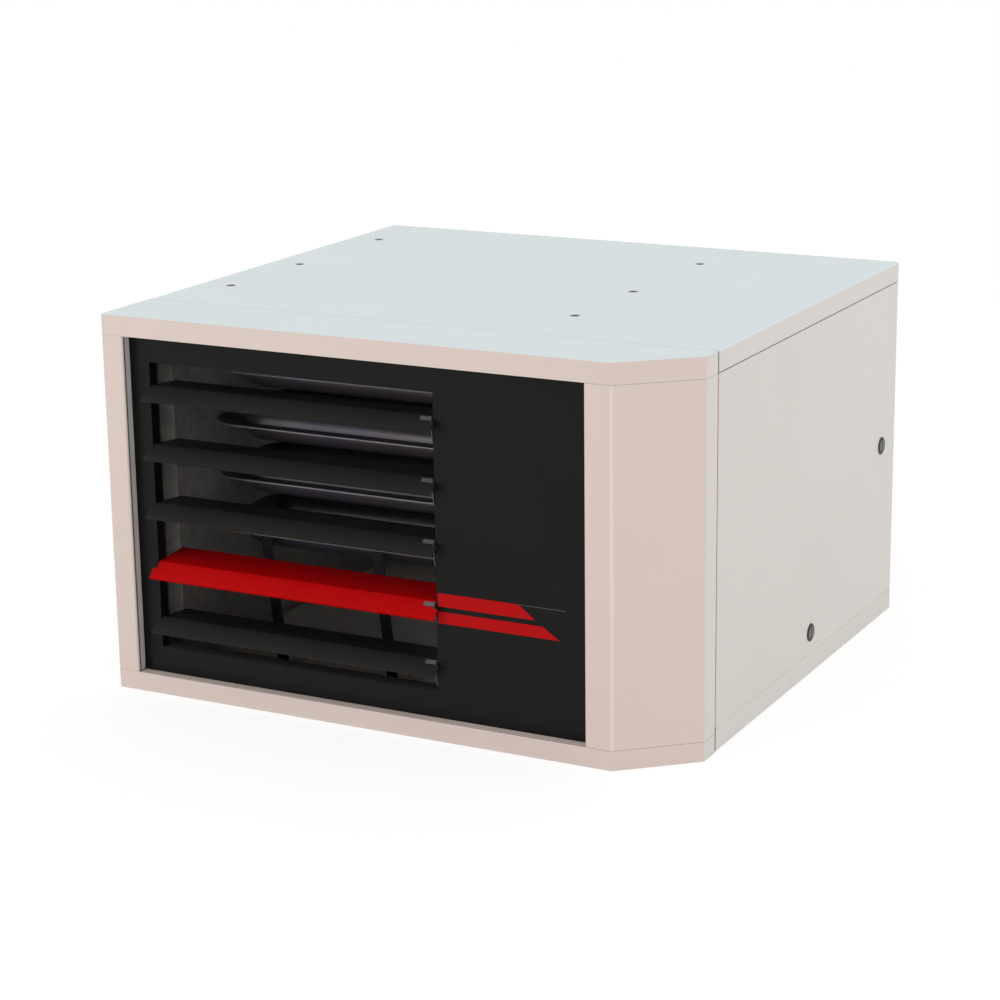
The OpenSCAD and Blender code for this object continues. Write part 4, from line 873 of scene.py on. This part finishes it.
class HEATER_OT_exchanger(bpy.types.Operator):
    """Give the exchanger, its struts and the air side their metals"""

    bl_idname = "heater.exchanger"
    bl_label = "Exchanger and liner"

    def execute(self, context):
        c, s = colours(), sizes()
        hot = heat_tinted("Heat-tinted steel", c.heat_steel)
        liner = spangled("Liner zinc", c.liner, 0.55, 90, 0.2)
        for i in range(1, 5):
            dressed(f"exchanger_cell_{i}", hot, 0, ROUND)
        for node in ("partition_wall", "side_liner"):
            dressed(node, liner, s.edge)
        dressed("exchanger_struts", pipe_steel("Strut steel", c.strut), s.edge)
        return {"FINISHED"}


class HEATER_OT_trim(bpy.types.Operator):
    """Add the cells' folded seams, the door's foam, strips of painted shade, the film's edge and the rivets
    """

    bl_idname = "heater.trim"
    bl_label = "Seams, shade strips and rivets"

    def execute(self, context):
        c, s = colours(), sizes()
        # Dark finish of the strips of painted shade
        painted_shade = moulded("Painted shade strips", c.painted_shade, 0.6)
        cell_seams(spangled("Seam steel", c.seam, 0.4, 300, 0.6), s.bead)
        post_shade_strip(painted_shade)
        joint_shade_strips(painted_shade)
        door_gasket(moulded("Door foam", c.foam, 0.9, 0.0002))
        film_edge(moulded("Film edge", c.trace, 0.3))
        # The seams' strips take the front colour darkened as painted shade
        cover_paint(
            moulded("Painted shade in the seams", scaled(c.front, 0.45), 0.6),
            moulded("Painted shade in the left seams", scaled(c.front, 0.85), 0.6),
        )
        rear_rivets(cast_alloy("Rivet alloy", c.rivet), s.rivet)
        return {"FINISHED"}


class HEATER_OT_gas_train(bpy.types.Operator):
    """Give the burners, manifold, valve and pipes their metals"""

    bl_idname = "heater.gas_train"
    bl_label = "Gas train"

    def execute(self, context):
        c, s = colours(), sizes()
        hot = heat_tinted("Burner steel", c.heat_steel)
        zinc = spangled("Burner box zinc", c.zinc)
        pipe = pipe_steel("Pipe steel", c.pipe)
        alloy = cast_alloy("Valve alloy", c.valve)
        dressed("burners", hot, 0, ROUND)
        dressed("burner_box", zinc, s.edge)
        dressed("gas_manifold", pipe, 0, ROUND)
        dressed("gas_pipe", pipe, s.edge, ROUND)
        dressed("gas_valve", alloy, s.edge * 3, ROUND)
        dressed("valve_knob", moulded("Knob plastic", c.knob, 0.32), s.edge, ROUND)
        dressed("flame_rods", moulded("Ceramic", c.rod, 0.35), s.edge, ROUND)
        return {"FINISHED"}


class HEATER_OT_flue(bpy.types.Operator):
    """Give the collector, inducer and flue pipe their metals"""

    bl_idname = "heater.flue"
    bl_label = "Flue"

    def execute(self, context):
        c, s = colours(), sizes()
        hot = heat_tinted("Collector steel", c.heat_steel)
        zinc = spangled("Flue zinc", c.zinc, 0.36, 90)
        dressed("flue_collector", hot, s.edge)
        dressed("inducer_housing", zinc, s.edge, ROUND)
        dressed("flue_pipe", zinc, s.edge, ROUND)
        dressed("inducer_wheel", cast_alloy("Wheel aluminium", c.wheel), 0, ROUND)
        dressed("inducer_shaft", spangled("Shaft steel", c.zinc, 0.22, 600), 0, ROUND)
        dressed("inducer_motor", moulded("Motor enamel", c.motor, 0.4), s.edge, ROUND)
        return {"FINISHED"}


class HEATER_OT_controls(bpy.types.Operator):
    """Finish the parts of the control bay"""

    bl_idname = "heater.controls"
    bl_label = "Controls"

    def execute(self, context):
        c, s = colours(), sizes()
        plastic = moulded("Black plastic", c.plastic)
        ivory = moulded("Ivory plastic", c.ivory, 0.4)
        dressed("pressure_switch", plastic, s.edge, ROUND)
        dressed("door_switch", plastic, s.edge)
        dressed("cable_bushing", plastic, 0, ROUND)
        dressed("switch_plunger", ivory, s.edge, ROUND)
        dressed("terminal_block", ivory, s.edge, ROUND)
        dressed("control_plate", spangled("Control plate zinc", c.zinc), s.edge)
        board = dressed("control_board", moulded("Circuit board", c.board, 0.35), 0, ROUND)
        relay = moulded("Relay plastic", c.relay, 0.35)
        can = cast_alloy("Capacitor can", c.can)
        for material, band in ((relay, RELAY_BAND), (can, CAPACITOR_BAND), (ivory, CONNECTOR_BAND)):
            recoated(board, material, partial(on_board, band))
        iron = dressed("transformer", pipe_steel("Transformer iron", c.iron), s.edge)
        recoated(iron, moulded("Coil tape", c.tape, 0.5), on_coil)
        return {"FINISHED"}


class HEATER_OT_fan(bpy.types.Operator):
    """Finish the fan, its motor and its guard"""

    bl_idname = "heater.fan"
    bl_label = "Fan"

    def execute(self, context):
        c, s = colours(), sizes()
        alloy = cast_alloy("Fan aluminium", c.fan, 0.36)
        enamel = moulded("Fan motor enamel", c.fan_motor, 0.42)
        wire = moulded("Guard coating", c.guard, 0.38, 0.00002)
        dressed("fan_orifice", spangled("Orifice zinc", c.zinc), s.edge, ROUND)
        dressed("fan_blades", alloy, s.edge, ROUND)
        dressed("fan_shaft", spangled("Fan shaft steel", c.zinc, 0.22, 600), 0, ROUND)
        dressed("fan_motor", enamel, s.edge, ROUND)
        dressed("fan_guard", wire, 0, 50)
        return {"FINISHED"}


class HEATER_OT_fasteners(bpy.types.Operator):
    """Finish the hinges, quarter-turn fasteners, nuts and screws"""

    bl_idname = "heater.fasteners"
    bl_label = "Hinges and fasteners"

    def execute(self, context):
        c, s = colours(), sizes()
        zinc = spangled("Fastener zinc", c.zinc, 0.3, 300)
        head = spangled("Fastener head zinc", scaled(c.zinc, 0.3), 0.45, 300, 0.7)
        for node in ("hinge_set", "panel_screws"):
            dressed(node, zinc, s.edge / 2, ROUND)
        for node in ("fastener_rear", "fastener_low", "hanger_nuts"):
            dressed(node, head, s.edge / 2, ROUND)
        dressed("fastener_bezels", moulded("Bezel plastic", c.bezel, 0.5), s.edge / 2, ROUND)
        return {"FINISHED"}


class HEATER_OT_stage(bpy.types.Operator):
    """Make the floor, the soft lights and the camera"""

    bl_idname = "heater.stage"
    bl_label = "Stage"

    def execute(self, context):
        s = sizes()
        floor()
        bpy.context.scene.world = pale_studio(s.fill)
        for name, place, size, share in LIGHTS:
            soft_light(name, place, size, s.key * share)
        bpy.context.scene.camera = photo_camera()
        bpy.context.scene.view_settings.view_transform = "Standard"
        return {"FINISHED"}


class HEATER_PT_panel(bpy.types.Panel):
    """Lists the heater's colours, sizes and pieces"""

    bl_label = "Gas unit heater"
    bl_idname = "HEATER_PT_panel"
    bl_space_type = "VIEW_3D"
    bl_region_type = "UI"
    bl_category = "Heater"

    def draw(self, context):
        for group in (context.scene.heater_colours, context.scene.heater_sizes):
            for name in group.__annotations__:
                self.layout.prop(group, name)
        for step in STEPS:
            self.layout.operator(step.bl_idname)


STEPS = [
    HEATER_OT_cabinet,
    HEATER_OT_louvers,
    HEATER_OT_exchanger,
    HEATER_OT_trim,
    HEATER_OT_gas_train,
    HEATER_OT_flue,
    HEATER_OT_controls,
    HEATER_OT_fan,
    HEATER_OT_fasteners,
    HEATER_OT_stage,
]
CLASSES = [HeaterColours, HeaterSizes, *STEPS, HEATER_PT_panel]


def register():
    """Adds the classes and the scene's properties."""
    for item in CLASSES:
        bpy.utils.register_class(item)
    bpy.types.Scene.heater_colours = PointerProperty(type=HeaterColours)
    bpy.types.Scene.heater_sizes = PointerProperty(type=HeaterSizes)


def unregister():
    """Removes them again."""
    del bpy.types.Scene.heater_colours
    del bpy.types.Scene.heater_sizes
    for item in reversed(CLASSES):
        bpy.utils.unregister_class(item)


def main():
    """Registers and makes every piece in order."""
    register()
    for step in STEPS:
        group, name = step.bl_idname.split(".")
        getattr(getattr(bpy.ops, group), name)()


if __name__ == "__main__":
    main()
